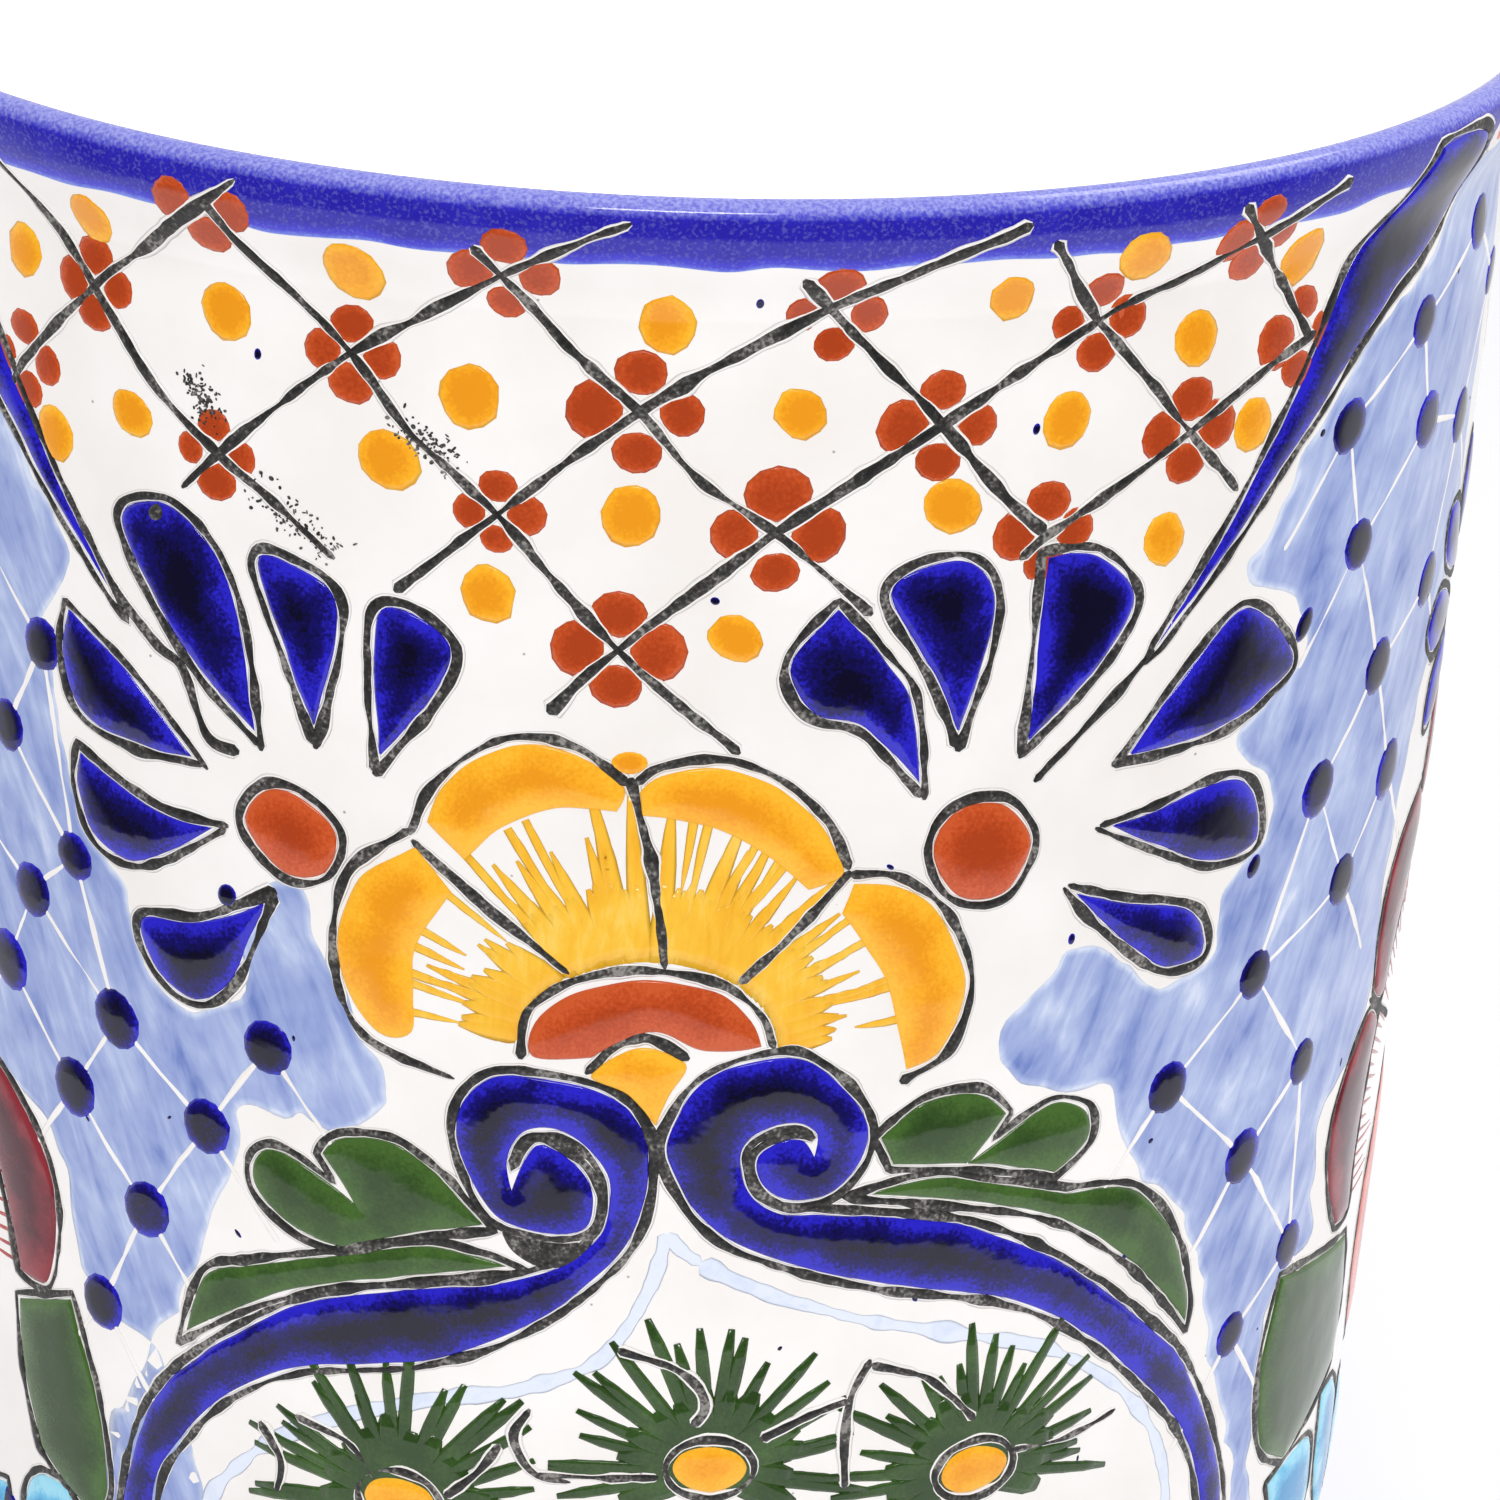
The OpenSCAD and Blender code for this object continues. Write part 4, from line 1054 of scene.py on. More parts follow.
FAN_PETALS = [
    [(-87, 64), (-78.5, 60), (-70.5, 65), (-65.5, 76), (-63, 94.5, 1), (-72, 87), (-81, 76)],
    [(-62, 66), (-56.5, 65), (-48.5, 71), (-52.5, 92, 1), (-57, 80)],
    [(-42, 71), (-36.5, 70), (-30.5, 75), (-33, 83), (-41.5, 95, 1), (-42.5, 84)],
    [(-99.5, 83, 1), (-101, 91), (-97.5, 99.5), (-87, 102), (-74.5, 101.5, 1), (-86.5, 90.5)],
    [(-98, 107, 1), (-99, 113), (-95.5, 121), (-88, 123), (-80, 119.5), (-71, 113, 1),
     (-83, 112.5)],
    [(-85.5, 133), (-83, 140.5), (-77, 144), (-71.5, 142.5), (-66.5, 136), (-61.5, 123.5, 1),
     (-73.5, 130)],
    [(28, 66, 1), (21.5, 74), (22.5, 80), (26, 83.5), (33.5, 86), (42.5, 96, 1), (40.5, 82),
     (35.5, 74.5)],
    [(36, 63.5), (46, 59), (52, 63.5), (52.5, 73), (48.5, 88, 1), (44, 78)],
    [(61, 60, 1), (70, 61), (77.5, 69), (74, 77.5), (67, 85), (60.5, 91, 1), (61, 75)],
    [(102, 76), (114.5, 87.5), (108.5, 92.5), (98, 96), (79.5, 96.5, 1), (91, 83)],
    [(77.5, 108.5, 1), (86, 107.5), (99.5, 105.5), (106.5, 107.5), (110.5, 114), (110, 119.5),
     (100, 119.5), (87, 113.5)],
    [(72, 119, 1), (83, 123), (95.5, 127), (100, 132), (100, 136.5), (92.5, 136.5), (85, 131.5),
     (77, 124.5)]]
FAN_EYES = [[(-65, 110.5), (-61, 104), (-55, 104), (-49, 109), (-51, 116), (-58, 117.5)],
            [(46, 108), (49, 101.5), (57, 101), (62.5, 108), (59, 116.5), (50.5, 116)]]
SCROLL_LEFT = [
    [(2.5, 160), (-0.5, 152), (-8, 148), (-21, 147), (-27, 151.5), (-28.5, 158.5), (-26, 166.5),
     (-22.2, 172.4), (-17.6, 174), (-11.7, 174.6), (-7, 173.2), (-5.9, 169), (-6.6, 165),
     (-9.2, 161.8), (-12.8, 159.4), (-15.6, 159), (-18, 162.6), (-19.6, 167.5, 1), (-20.4, 162),
     (-17.6, 156.8), (-12.4, 156), (-7.2, 158.8), (-3.9, 163.4), (-3.4, 168.8), (-4.6, 174.6),
     (-11, 180.4, 1), (-22, 185), (-40, 189), (-58, 196), (-76, 210), (-87, 223), (-93.5, 240),
     (-95, 256), (-88, 274, 1), (-87.5, 256), (-87, 239), (-80, 226.5), (-69.5, 215),
     (-55.5, 206.5), (-33, 200.5), (-18, 193), (-5.5, 182.5), (1, 173)]]
SCROLL_RIGHT = [
    [(5.5, 160), (7, 152.5), (11, 146.5), (18, 143), (26, 142.5), (33.5, 148), (38, 155),
     (37.5, 161.5), (33.5, 166.8), (29, 168.2), (25, 167.8), (21.8, 165.6), (20.4, 162.8),
     (20.4, 160), (22.6, 158), (25.4, 157), (28, 157.6), (29.6, 160.4, 1), (29.9, 156.4),
     (26.6, 154.2), (21, 155.2), (17.6, 158.4), (18, 163.6), (20.4, 167.8), (24.8, 170.4),
     (30, 170.8, 1), (50, 174), (63, 179), (79, 189), (95.5, 203), (107.5, 215), (119, 234),
     (125, 250), (126, 264), (120, 282, 1), (119.5, 264), (118, 247), (111, 231), (99, 217),
     (83, 202), (65, 191), (39.5, 184), (22.5, 178), (12.5, 172)]]
LEAF_LEFT = [
    [(-30, 168, 1), (-38.5, 162), (-48, 162.5), (-51.5, 166, 1), (-46, 174, 1), (-56, 168.5),
     (-61.5, 167.5), (-64.5, 171), (-63.5, 176), (-56.5, 181), (-48, 182.5, 1), (-36, 177.5),
     (-24, 174.5, 1)],
    [(-68, 191, 1), (-74.5, 194.5), (-79, 206.5, 1), (-64, 196), (-47, 188.5), (-20, 181.5, 1),
     (-33, 179.5), (-50, 184.5)]]
LEAF_RIGHT = [
    [(40.5, 158, 1), (47.5, 152.5), (57, 152), (62.5, 156.5, 1), (57, 164.5, 1), (66.5, 158.5),
     (72.5, 156.5), (78.5, 159.5), (79, 165), (73, 169.5, 1), (60, 165.5), (43, 163, 1)],
    [(39, 168, 1), (50, 166.5), (62, 169.5), (76, 174, 1), (90.5, 177), (101, 188.5),
     (106.5, 201.5), (107, 207, 1), (91.5, 190.5), (73.5, 177.5), (54, 171)]]
RIBBON_RIGHT = [
    [(131.5, 5, 1), (140, 4.5), (147.5, 6.5), (148.5, 14), (146.5, 20.5), (139.5, 25.5),
     (131, 29.5), (122, 36.5), (114.5, 44.5), (106, 53), (96, 64.5), (83, 78.5, 1), (90.5, 68),
     (99.5, 54.5), (106.5, 43), (113.5, 30), (119, 21), (126.5, 13.5)]]
RIBBON_MIDDLE = -3      # mm round: the two ribbons mirror each other about this line
print(f"{len(FAN_PETALS)} fan petals and {len(SUNFLOWER_PETALS)} sunflower petals are drawn")

# %% Lines of the front panel
LATTICE_LINES = [
    [(-110.8, 6.7), (-91.6, 27.1), (-78.9, 41.6), (-68.7, 49.3), (-59.4, 55.1), (-48.8, 63)],
    [(-67.8, 7.4), (-61.5, 16.3), (-46.1, 29.4), (-37.3, 40.2), (-23.6, 52.2), (-5.1, 72.8),
     (14.1, 89.7)],
    [(-27, 9.1), (-14.8, 23.6), (-2.9, 34.3), (6.2, 44.7), (18, 53.4), (33.4, 67.2)],
    [(19.5, 12.4), (28.7, 22.7), (42.2, 36.7), (52.2, 48.5), (60.5, 56.2)],
    [(55.7, 7.5), (66.5, 22.5), (75, 31.8), (85.1, 43), (96.5, 54.9)],
    [(87.1, 5.6), (92.7, 12.1), (101.3, 21.5), (108.8, 32.1)],
    [(-61.8, 3.4), (-67.8, 8.5), (-84.3, 21.8), (-90.8, 27.1), (-107, 43.3), (-112, 51.1)],
    [(-4.7, 3.4), (-15.5, 9), (-34, 21.3), (-46.1, 29.5), (-59.2, 40.7), (-68.7, 49.8),
     (-75.2, 56.4)],
    [(51.7, 4.2), (36.2, 11.1), (17.9, 21.1), (-2.9, 34.3), (-23.6, 52.2), (-39.2, 66.7)],
    [(108.6, 5.1), (83.3, 16.2), (66.5, 22.5), (42.2, 36.8), (18, 53.3), (-5, 72.9), (-15.3, 84.1)],
    [(110.4, 31.4), (97.4, 36.5), (72, 50.4), (60.5, 56.7), (56.4, 59.9)]]
SUNFLOWER_LINES = [
    [(-36.7, 106.2), (-46.6, 114.7), (-49.5, 125.7), (-48.4, 136), (-43.3, 143.9), (-29, 148.7)],
    [(-36.7, 107.1), (-33.5, 98.9), (-25.7, 91.2), (-18, 88.3), (-10.3, 89.7), (-2.8, 95.2)],
    [(-1.7, 95.1), (2, 92.1), (11.1, 90.6), (20.5, 94), (28.7, 101.9), (32.4, 109.9)],
    [(32.4, 110.7), (40.6, 111.9), (48.6, 118.2), (53.7, 128.5), (54, 136.5), (50.6, 144.1),
     (43.1, 148.2)],
    [(-36.3, 107.9), (-23.5, 118.5), (-10.9, 128.2)],
    [(-2.4, 94), (1.6, 110), (4, 126.6)],
    [(32.6, 110.2), (24.5, 120), (15.9, 129.1)],
    [(-18.5, 143.8), (-17.1, 134.9), (-9.3, 129), (1.7, 127), (12.7, 129.1), (19.3, 134.5),
     (22, 140.7)],
    [(-8, 145.6), (-2.6, 140), (2.1, 138.9), (8.5, 142.3)]]
CURL_SHADOW = [(-21, 175, 1), (-15, 176), (-9, 176), (-5.4, 175, 1), (-8, 179.6, 1), (-14, 181),
               (-19, 178.6)]
RIBBON_TAILS = [[(82.5, 79), (72, 89), (62.4, 98.1)],
                [(-89.7, 76.3), (-80.5, 84.2), (-76.1, 86.8), (-71.7, 97.1), (-65.8, 98.6)]]
PLANT_STEMS = [
    [(-1.4, 195.2), (8, 198.5), (12.6, 202.4), (13.6, 206.2), (11.5, 209.5)],
    [(-15.6, 207.5), (-18.3, 213), (-14.5, 219.5), (-8.5, 220.7)],
    [(41.4, 198.7), (38.4, 206), (37.9, 213.5), (38.6, 223.1)],
    [(41.5, 199.7), (52.6, 204.1), (61.8, 213.4)],
    [(23.2, 212.2), (31, 208.5), (38.4, 205.9)],
    [(69.4, 220.9), (80, 221.5), (91.7, 219.2)],
    [(-14.5, 219.8), (-4, 219.4), (6.6, 219)],
    [(-64, 219), (-60, 225.5), (-61, 232)],
    [(-57, 216), (-47, 219), (-42, 226)],
    [(-30, 226), (-24, 220), (-20.5, 214.5)],
    [(-17, 245), (-14, 252), (-15, 257)], [(-30, 262), (-24, 265), (-21, 263)],
    [(44, 247), (41, 254), (43, 259)], [(66, 262), (58, 266), (51, 265)],
    [(16, 274), (20, 281), (17, 286)], [(-2, 292), (5, 294), (10, 292)]]
MEDALLION = [
    [(6.2, 173.8), (3.6, 183.9), (-4.2, 197.2), (-17.4, 203.9), (-32.7, 207.9), (-50.6, 215.2),
     (-64.2, 224.5), (-74.7, 237.4), (-79, 255), (-73, 275), (-56, 293), (-32, 306), (-12, 314),
     (4, 324)],
    [(11.7, 179.2), (23.5, 185.1), (39.2, 191), (57.5, 196.5), (75.7, 203.2), (92.4, 215.5),
     (102.7, 228.6), (107.4, 242.2), (106, 258), (97, 276), (78, 293), (52, 305), (26, 314),
     (4, 324)],
    [(6.2, 173.8), (8.6, 176.8), (11.7, 179.2)]]
print(f"{len(LATTICE_LINES)} lines make the lattice")

# %% Touches of the front panel
CROSSINGS = [(-107, 43, 14), (-91, 27, 12), (-68, 9, 13), (-69, 49.5, 12.5), (-46, 29.5, 12.8),
             (-22.5, 13.5, 13.6), (-23.5, 52, 12), (-5, 73, 16.5), (-3, 34.5, 17.8),
             (18, 53.5, 17.5), (25, 18.5, 13.6), (42, 37, 16), (60.5, 56, 14), (66.5, 22.5, 14),
             (85, 43, 14.5), (92.5, 12, 12.5), (107, 31.5, 15)]
DAB_OUT, DAB_L, DAB_W = 0.64, 0.46, 0.52        # of half the span of a crossing's dabs
DAB_HIGHEST = 6         # mm below the lip: no dab is laid above this
DROPS = [(-106.5, 24.5), (-90.5, 15.5), (-85, 46), (-101, 53), (-67, 25.5), (-46, 15.5), (-41, 45),
         (-28, 33), (-25, 64.5), (-3.5, 50), (0.5, 19.5), (20, 33.5), (12, 70), (51, 16.5),
         (44, 49.5), (62.5, 37), (71, 11.5), (84.5, 27), (104.5, 17), (98, 43.5), (82, 59.5)]
PLANTS = [(-38, 228), (15, 217.5), (62.5, 223), (-16, 262), (44, 264), (17, 292)]
HEART_HALF = (6.5, 4.5)
DROP_TOUCH = (1.9, 4.7, 4.0, 0.22)              # turn, length, width and height
DOT_TOUCH = (1.6, 5.0, 4.6, 0.4)
WASH_DOTS_LEFT = [(-106.2, 91), (-116.2, 108.1), (-100.4, 126.2), (-111.5, 135.8), (-61.4, 149.2),
                  (-92, 152.7), (-119.1, 151.2), (-102.8, 168.8), (-73.5, 166.6), (-86.7, 186),
                  (-97.9, 207.3), (-128, 69), (-131, 92), (-141, 49), (-152, 70), (-155, 32),
                  (-168, 52), (-140, 117), (-155, 96), (-170, 28), (-172, 72)]
WASH_DOTS_RIGHT = [(143.8, 37.8), (122.8, 50.1), (151, 56.6), (130.3, 72.3), (163, 88.6),
                   (143.5, 97.7), (127.2, 114.6), (140.3, 135.4), (154.6, 120.2), (115, 144.4),
                   (95.8, 159.5), (134, 167.1), (117.8, 179.2), (138, 203.8), (121, 214.7),
                   (166, 27), (171, 62), (182, 40)]
LOW_DOTS = [(138, 262), (132, 282), (118, 300), (148, 298), (100, 318), (132, 320), (78, 330),
            (158, 326)]
print(f"{len(CROSSINGS)} crossings, {len(DROPS)} drops and {len(PLANTS)} plants")

# %% [markdown]
# ## The side panels
# A quarter turn away on each side is half a great burgundy bloom, round a salmon bud, over dark
# leaves and turquoise drops. It is symmetrical about its own centre line, which leans, so it is
# drawn by a formula on one side and mirrored.

# %% Outlines of the side panels
BLOOM_CENTRE = np.array((0, 212))
BLOOM_HALF = np.array((92, 98))
BLOOM_PETALS = 6
BLOOM_NOTCH = 0.1       # of the bloom's half size: how deep the notches between its petals are
BLOOM_BAND = 0.14       # of the same: how wide a petal's coloured band is
BLOOM_GAP = 3           # degrees between petals


def bloom_point(angle, scale):
    spot = BLOOM_CENTRE - scale * BLOOM_HALF * (math.cos(math.radians(angle)),
                                                math.sin(math.radians(angle)))
    return tuple(spot)


def bloom_petal(i):
    """The coloured outer band of one petal: out along its rounded edge and back inside it."""
    start = 180 * i / BLOOM_PETALS + BLOOM_GAP / 2
    sweep = 180 / BLOOM_PETALS - BLOOM_GAP
    out = [bloom_point(start + sweep * t, 1 - BLOOM_NOTCH * (1 - math.sin(math.pi * t)))
           for t in (0, 0.2, 0.4, 0.6, 0.8, 1)]
    back = [bloom_point(start + sweep * t, 1 - BLOOM_BAND - BLOOM_NOTCH * 0.4)
            for t in (1, 0.75, 0.5, 0.25, 0)]
    return [(*out[0], 1)] + out[1:] + [(*back[0], 1)] + back[1:]


BLOOM_BUD = [[(-58, 214), (-44, 199), (-24, 191), (0, 188), (24, 191), (44, 199), (58, 214),
              (60, 234), (50, 250), (28, 261), (0, 265), (-28, 261), (-50, 250), (-60, 234)]]
BLOOM_LEAVES = [[(-107, 210, 1), (-91, 213), (-75, 216, 1), (-72, 230), (-76, 243, 1), (-88, 247),
                 (-102, 251, 1), (-112, 243), (-113, 226)]]
BLOOM_DROPS = [[(-108, 254, 1), (-96, 252.5), (-87, 255), (-86, 266), (-92, 276, 1), (-101, 272)],
               [(-81, 248, 1), (-72, 249), (-66, 256), (-66, 268), (-72, 280, 1), (-80, 268)],
               [(-59, 256, 1), (-50, 259), (-44, 266), (-44, 276), (-50, 287, 1), (-58, 273)]]
FAN_ROOT = (-26, 103)
FAN_TURNS = (-35, 5, 45, 85)
FAN_REACH = (9, 16, 25, 31)     # mm from the fan's root: point, waist, widest place and end
FAN_W = 11


def fan_petal(turn):
    """One petal of a side fan: pointed at the root and round at its outer end."""
    c, s = math.cos(math.radians(turn)), math.sin(math.radians(turn))
    point, waist, widest, end = FAN_REACH
    shape = [(point, 0), (waist, -FAN_W / 3), (widest, -FAN_W / 2), (end, 0), (widest, FAN_W / 2),
             (waist, FAN_W / 3)]
    placed = [(FAN_ROOT[0] - x * c - y * s, FAN_ROOT[1] - x * s + y * c) for x, y in shape]
    return [(*placed[0], 1)] + placed[1:]


def both_halves(shapes):
    return shapes + mirrored(shapes)


def smooth_all(shapes, along=0.0, lean=0.0):
    return moved([smooth_outline(shape) for shape in shapes], along, lean)


print(f"A side panel's bloom has {BLOOM_PETALS} petals, {2 * BLOOM_HALF[0]} mm across")

# %% [markdown]
# ## Washes
# Between the panels the painter floods a watery blue, then scratches a white net through it and
# puts a cobalt dot on each crossing. A wash is the same filled outline as an enamel field, but
# almost flat and with a ragged edge. The net joins each dot to its next neighbours below it.

# %% Wash, net and dots
WASH_LEFT = [(-155, 13), (-151, 20), (-137, 32), (-120.5, 47.5), (-110, 58), (-102, 68),
             (-100, 75.8), (-105.5, 88), (-103, 99), (-101, 109), (-97.5, 122), (-90, 128),
             (-87, 136), (-80, 145.5), (-70, 144), (-64, 132), (-62, 121), (-56, 118.5),
             (-51.5, 126), (-47.5, 136), (-40, 150), (-40.5, 157), (-48, 160.5), (-57.5, 159.5),
             (-67, 162.5),
             (-66.5, 169), (-74.5, 186), (-80.5, 204), (-92, 222), (-98, 240), (-98, 258),
             (-88, 280), (-72, 298), (-48, 312), (-20, 322), (2, 330), (2, 342)]
WASH_RIGHT = [(151, 13), (149.5, 21), (142, 27), (133, 32), (124, 38.5), (113.5, 51), (104, 64),
              (101.5, 72), (111, 76), (117.5, 86), (110, 93), (103.5, 101), (111.5, 107.5),
              (113.5, 120), (104.5, 124), (103.5, 138), (92, 139), (80, 131), (72, 129.5),
              (65, 136), (60.5, 143), (63, 151), (73, 153), (82, 157), (88, 169), (101, 182),
              (110, 197), (112, 208), (122, 230), (129, 250), (129.5, 266), (121, 286), (104, 300),
              (78, 312), (44, 322), (6, 330), (6, 342)]
NET_STEP = (13, 17)     # mm across and down to the next dot, where none is drawn
SIDE_EDGE = [(0, 342), (0, 310), (40, 303), (70, 297), (95, 284), (111, 266), (115, 240),
             (110, 212), (97, 206), (93, 181), (76, 168), (67, 130), (58, 113), (44, 92), (38, 60),
             (34, 13)]


def wash_patch(front_edge, side):
    """The wash's outline from the panel's edge to the side bloom's; side is 1 on the right."""
    centre = side * HALF_TURN / 2
    far_edge = [(centre - side * u + LEAN * (d - LEAN_FROM), d) for u, d in SIDE_EDGE]
    return smooth_outline(front_edge + far_edge, 1.5)


def net_lines(dots, reach=38, overrun=1):
    """Scratches from each dot to the nearest one below it on either side."""
    lines = []
    for x, d in dots:
        for way in (-1, 1):
            near = [(math.hypot(x2 - x, d2 - d), x2, d2) for x2, d2 in dots
                    if d2 - d > 4 and way * (x2 - x) > 2 and math.hypot(x2 - x, d2 - d) < reach]
            end = np.array(min(near)[1:] if near else (x + way * NET_STEP[0], d + NET_STEP[1]))
            start = np.array((x, d))
            past = (end - start) / np.linalg.norm(end - start) * overrun
            lines.append(smooth_path([start - past, start, end, end + past], 3))
    return lines


def low_dots(side):
    return LOW_DOTS if side == 1 else [(8 - x, d) for x, d in LOW_DOTS]


def paint_wash(name, front_edge, dots, side, along, seed):
    patch = moved([wash_patch(front_edge, side)], along)
    raised_fields("wash_" + name, patch, washes[side], (), height=0.04, seed=seed,
                  shoulder=2.5, spacing=3, shake=2.8, swell=0, pool_reach=12, crown=0)
    all_dots = dots + low_dots(side)
    scratches = moved(net_lines(all_dots), along)
    strokes("net_" + name, scratches, [False] * len(scratches), tin_glaze, "tin_glaze", 0.52, 0.1,
            seed, Shake=0.8, Step=2.0)
    touched("dots_" + name, [(x + along, -d, *DOT_TOUCH) for x, d in all_dots], bead, cobalt,
            seed=seed, vary=0.14, sway=0.5, ragged=0.9)


# %% [markdown]
# ## Painting a panel
# The front panel is painted in the order of the real one: net and outlines in black, thin strokes,
# then the enamels. The back repeats the front, as the painter would, by another half turn of the
# paper. Other seeds keep the two from being copies.

# %% Black lines
OUTLINE_PEN = 0.78      # mm: half the width of each kind of black line
LATTICE_PEN = 0.9
PLANT_PEN = 0.85
HAIRLINE = 0.3          # mm of white beside a black line
EYES = ((-57, -110), (54, -109))        # the roots of the two fans
OVERSHOOT = 3.5         # mm that a petal's black line runs on past its root


def black_lines(name, lines, closed, half_width, lift=0.24, gap_lift=0.05, seed=1):
    """Black brush lines, and under them the wider white hairline that the glaze leaves."""
    strokes("hairline_" + name, lines, closed, tin_glaze, "tin_glaze", half_width + HAIRLINE,
            gap_lift, seed)
    strokes("black_" + name, lines, closed, brush_black, "line_black", half_width, lift, seed)


def pen_petal(outline):
    """A petal's black line, begun and ended at its root, where the two ends cross."""
    root = min(EYES, key=lambda eye: np.linalg.norm(outline.mean(0) - eye))
    first = int(np.linalg.norm(outline - root, axis=1).argmin())
    line = pen_round(np.roll(outline, -first, 0))[2:-2]
    start = line[0] + (line[0] - line[2]) / np.linalg.norm(line[0] - line[2]) * OVERSHOOT
    end = line[-1] + (line[-1] - line[-3]) / np.linalg.norm(line[-1] - line[-3]) * OVERSHOOT
    return np.concatenate([[start], line, [end]])


# %% Touches in a main panel
SUN_CENTRE = np.array((2, -141))
SUN_RING = (20, 15)             # half size of the terracotta ring that the rays come from
SUN_BAND = 39                   # mm from the centre to the coloured band of the petals
SUN_CREASES = (43.5, 91, 138.6)         # degrees: the lines between petals, kept clear
RAY_STEP = 3.6                  # degrees


def sunflower_rays(seed):
    """Strokes out of the sunflower's ring, and shorter ones in from its coloured band."""
    dice = np.random.RandomState(seed)
    spots = []
    for angle in np.arange(3, 178, RAY_STEP):
        if min(abs(angle - crease) for crease in SUN_CREASES) < 2.6:
            continue
        a = math.radians(angle + dice.uniform(-1, 1))
        way = np.array((math.cos(a), math.sin(a)))
        ring = 1 / math.hypot(way[0] / SUN_RING[0], way[1] / SUN_RING[1]) + 0.5
        root = SUN_CENTRE + way * ring
        band = SUN_BAND + 3 * way[1]
        room = band - ring
        reach = room * dice.choice((0.5, 0.7, 0.95, 1.05)) * (1.05 - 0.25 * abs(way[0]))
        spots.append((*root, a, reach, 1.15 + 0.5 * way[1], 0.04))
        spots.append((*root, a + 0.03, room * 0.5, 1.9, 0.05))
        if dice.uniform() < 0.55:
            back = SUN_CENTRE + way * (band + 2)
            spots.append((*back, a + math.pi, room * dice.uniform(0.4, 0.8), 0.8, 0.045))
    return spots


def plant_spikes(seed):
    """Long leaves over the top of each heart, on a body of short wide ones."""
    dice = np.random.RandomState(seed)
    spots = []
    for x, d in PLANTS:
        for angle in np.linspace(-14, 194, 22):
            a = math.radians(angle + dice.uniform(-3.5, 3.5))
            spots.append((x, -d, a, dice.uniform(21, 30), 1.25, 0.2))
        for angle in np.linspace(-25, 205, 14):
            spots.append((x, -d, math.radians(angle), 16 * dice.uniform(0.85, 1.05), 2.6, 0.22))
    return spots


def heart_outlines():
    ovals = [[(x + HEART_HALF[0] * math.cos(a), d + HEART_HALF[1] * math.sin(a))
              for a in np.linspace(0, 2 * math.pi, 8, endpoint=False)] for x, d in PLANTS]
    return [smooth_outline(oval) for oval in ovals]


def crossing_dabs():
    """Four dabs round each crossing, with their narrow ends towards it."""
    spots = []
    for x, d, span in CROSSINGS:
        half = span / 2
        for a in np.radians((0, 90, 180, 270)):
            spot = (x + DAB_OUT * half * math.cos(a), -d + DAB_OUT * half * math.sin(a))
            if -spot[1] > DAB_HIGHEST:
                spots.append((*spot, a + math.pi, DAB_L * half, DAB_W * half, 0.12))
    return spots


# %% Paint a main panel
FIELDS = [
    ("sunflower_petals", SUNFLOWER_PETALS, yellow, "yellow_enamel"),
    ("sunflower_ring", SUNFLOWER_RING, terracotta, "terracotta_enamel"),
    ("sunflower_heart", SUNFLOWER_HEART, yellow, "yellow_enamel"),
    ("fan_petals", FAN_PETALS, cobalt, "cobalt_enamel"),
    ("fan_eyes", FAN_EYES, terracotta, "terracotta_enamel"),
    ("scroll_left", SCROLL_LEFT, cobalt, "cobalt_enamel"),
    ("scroll_right", SCROLL_RIGHT, cobalt, "cobalt_enamel"),
    ("leaf_left", LEAF_LEFT, green, "green_enamel"),
    ("leaf_right", LEAF_RIGHT, green, "green_enamel"),
    ("ribbon_left", mirrored(RIBBON_RIGHT, RIBBON_MIDDLE), cobalt, "cobalt_enamel"),
    ("ribbon_right", RIBBON_RIGHT, cobalt, "cobalt_enamel")]
DRAWN = {name: smooth_all(shapes) for name, shapes, _, _ in FIELDS}
HEARTS = heart_outlines()


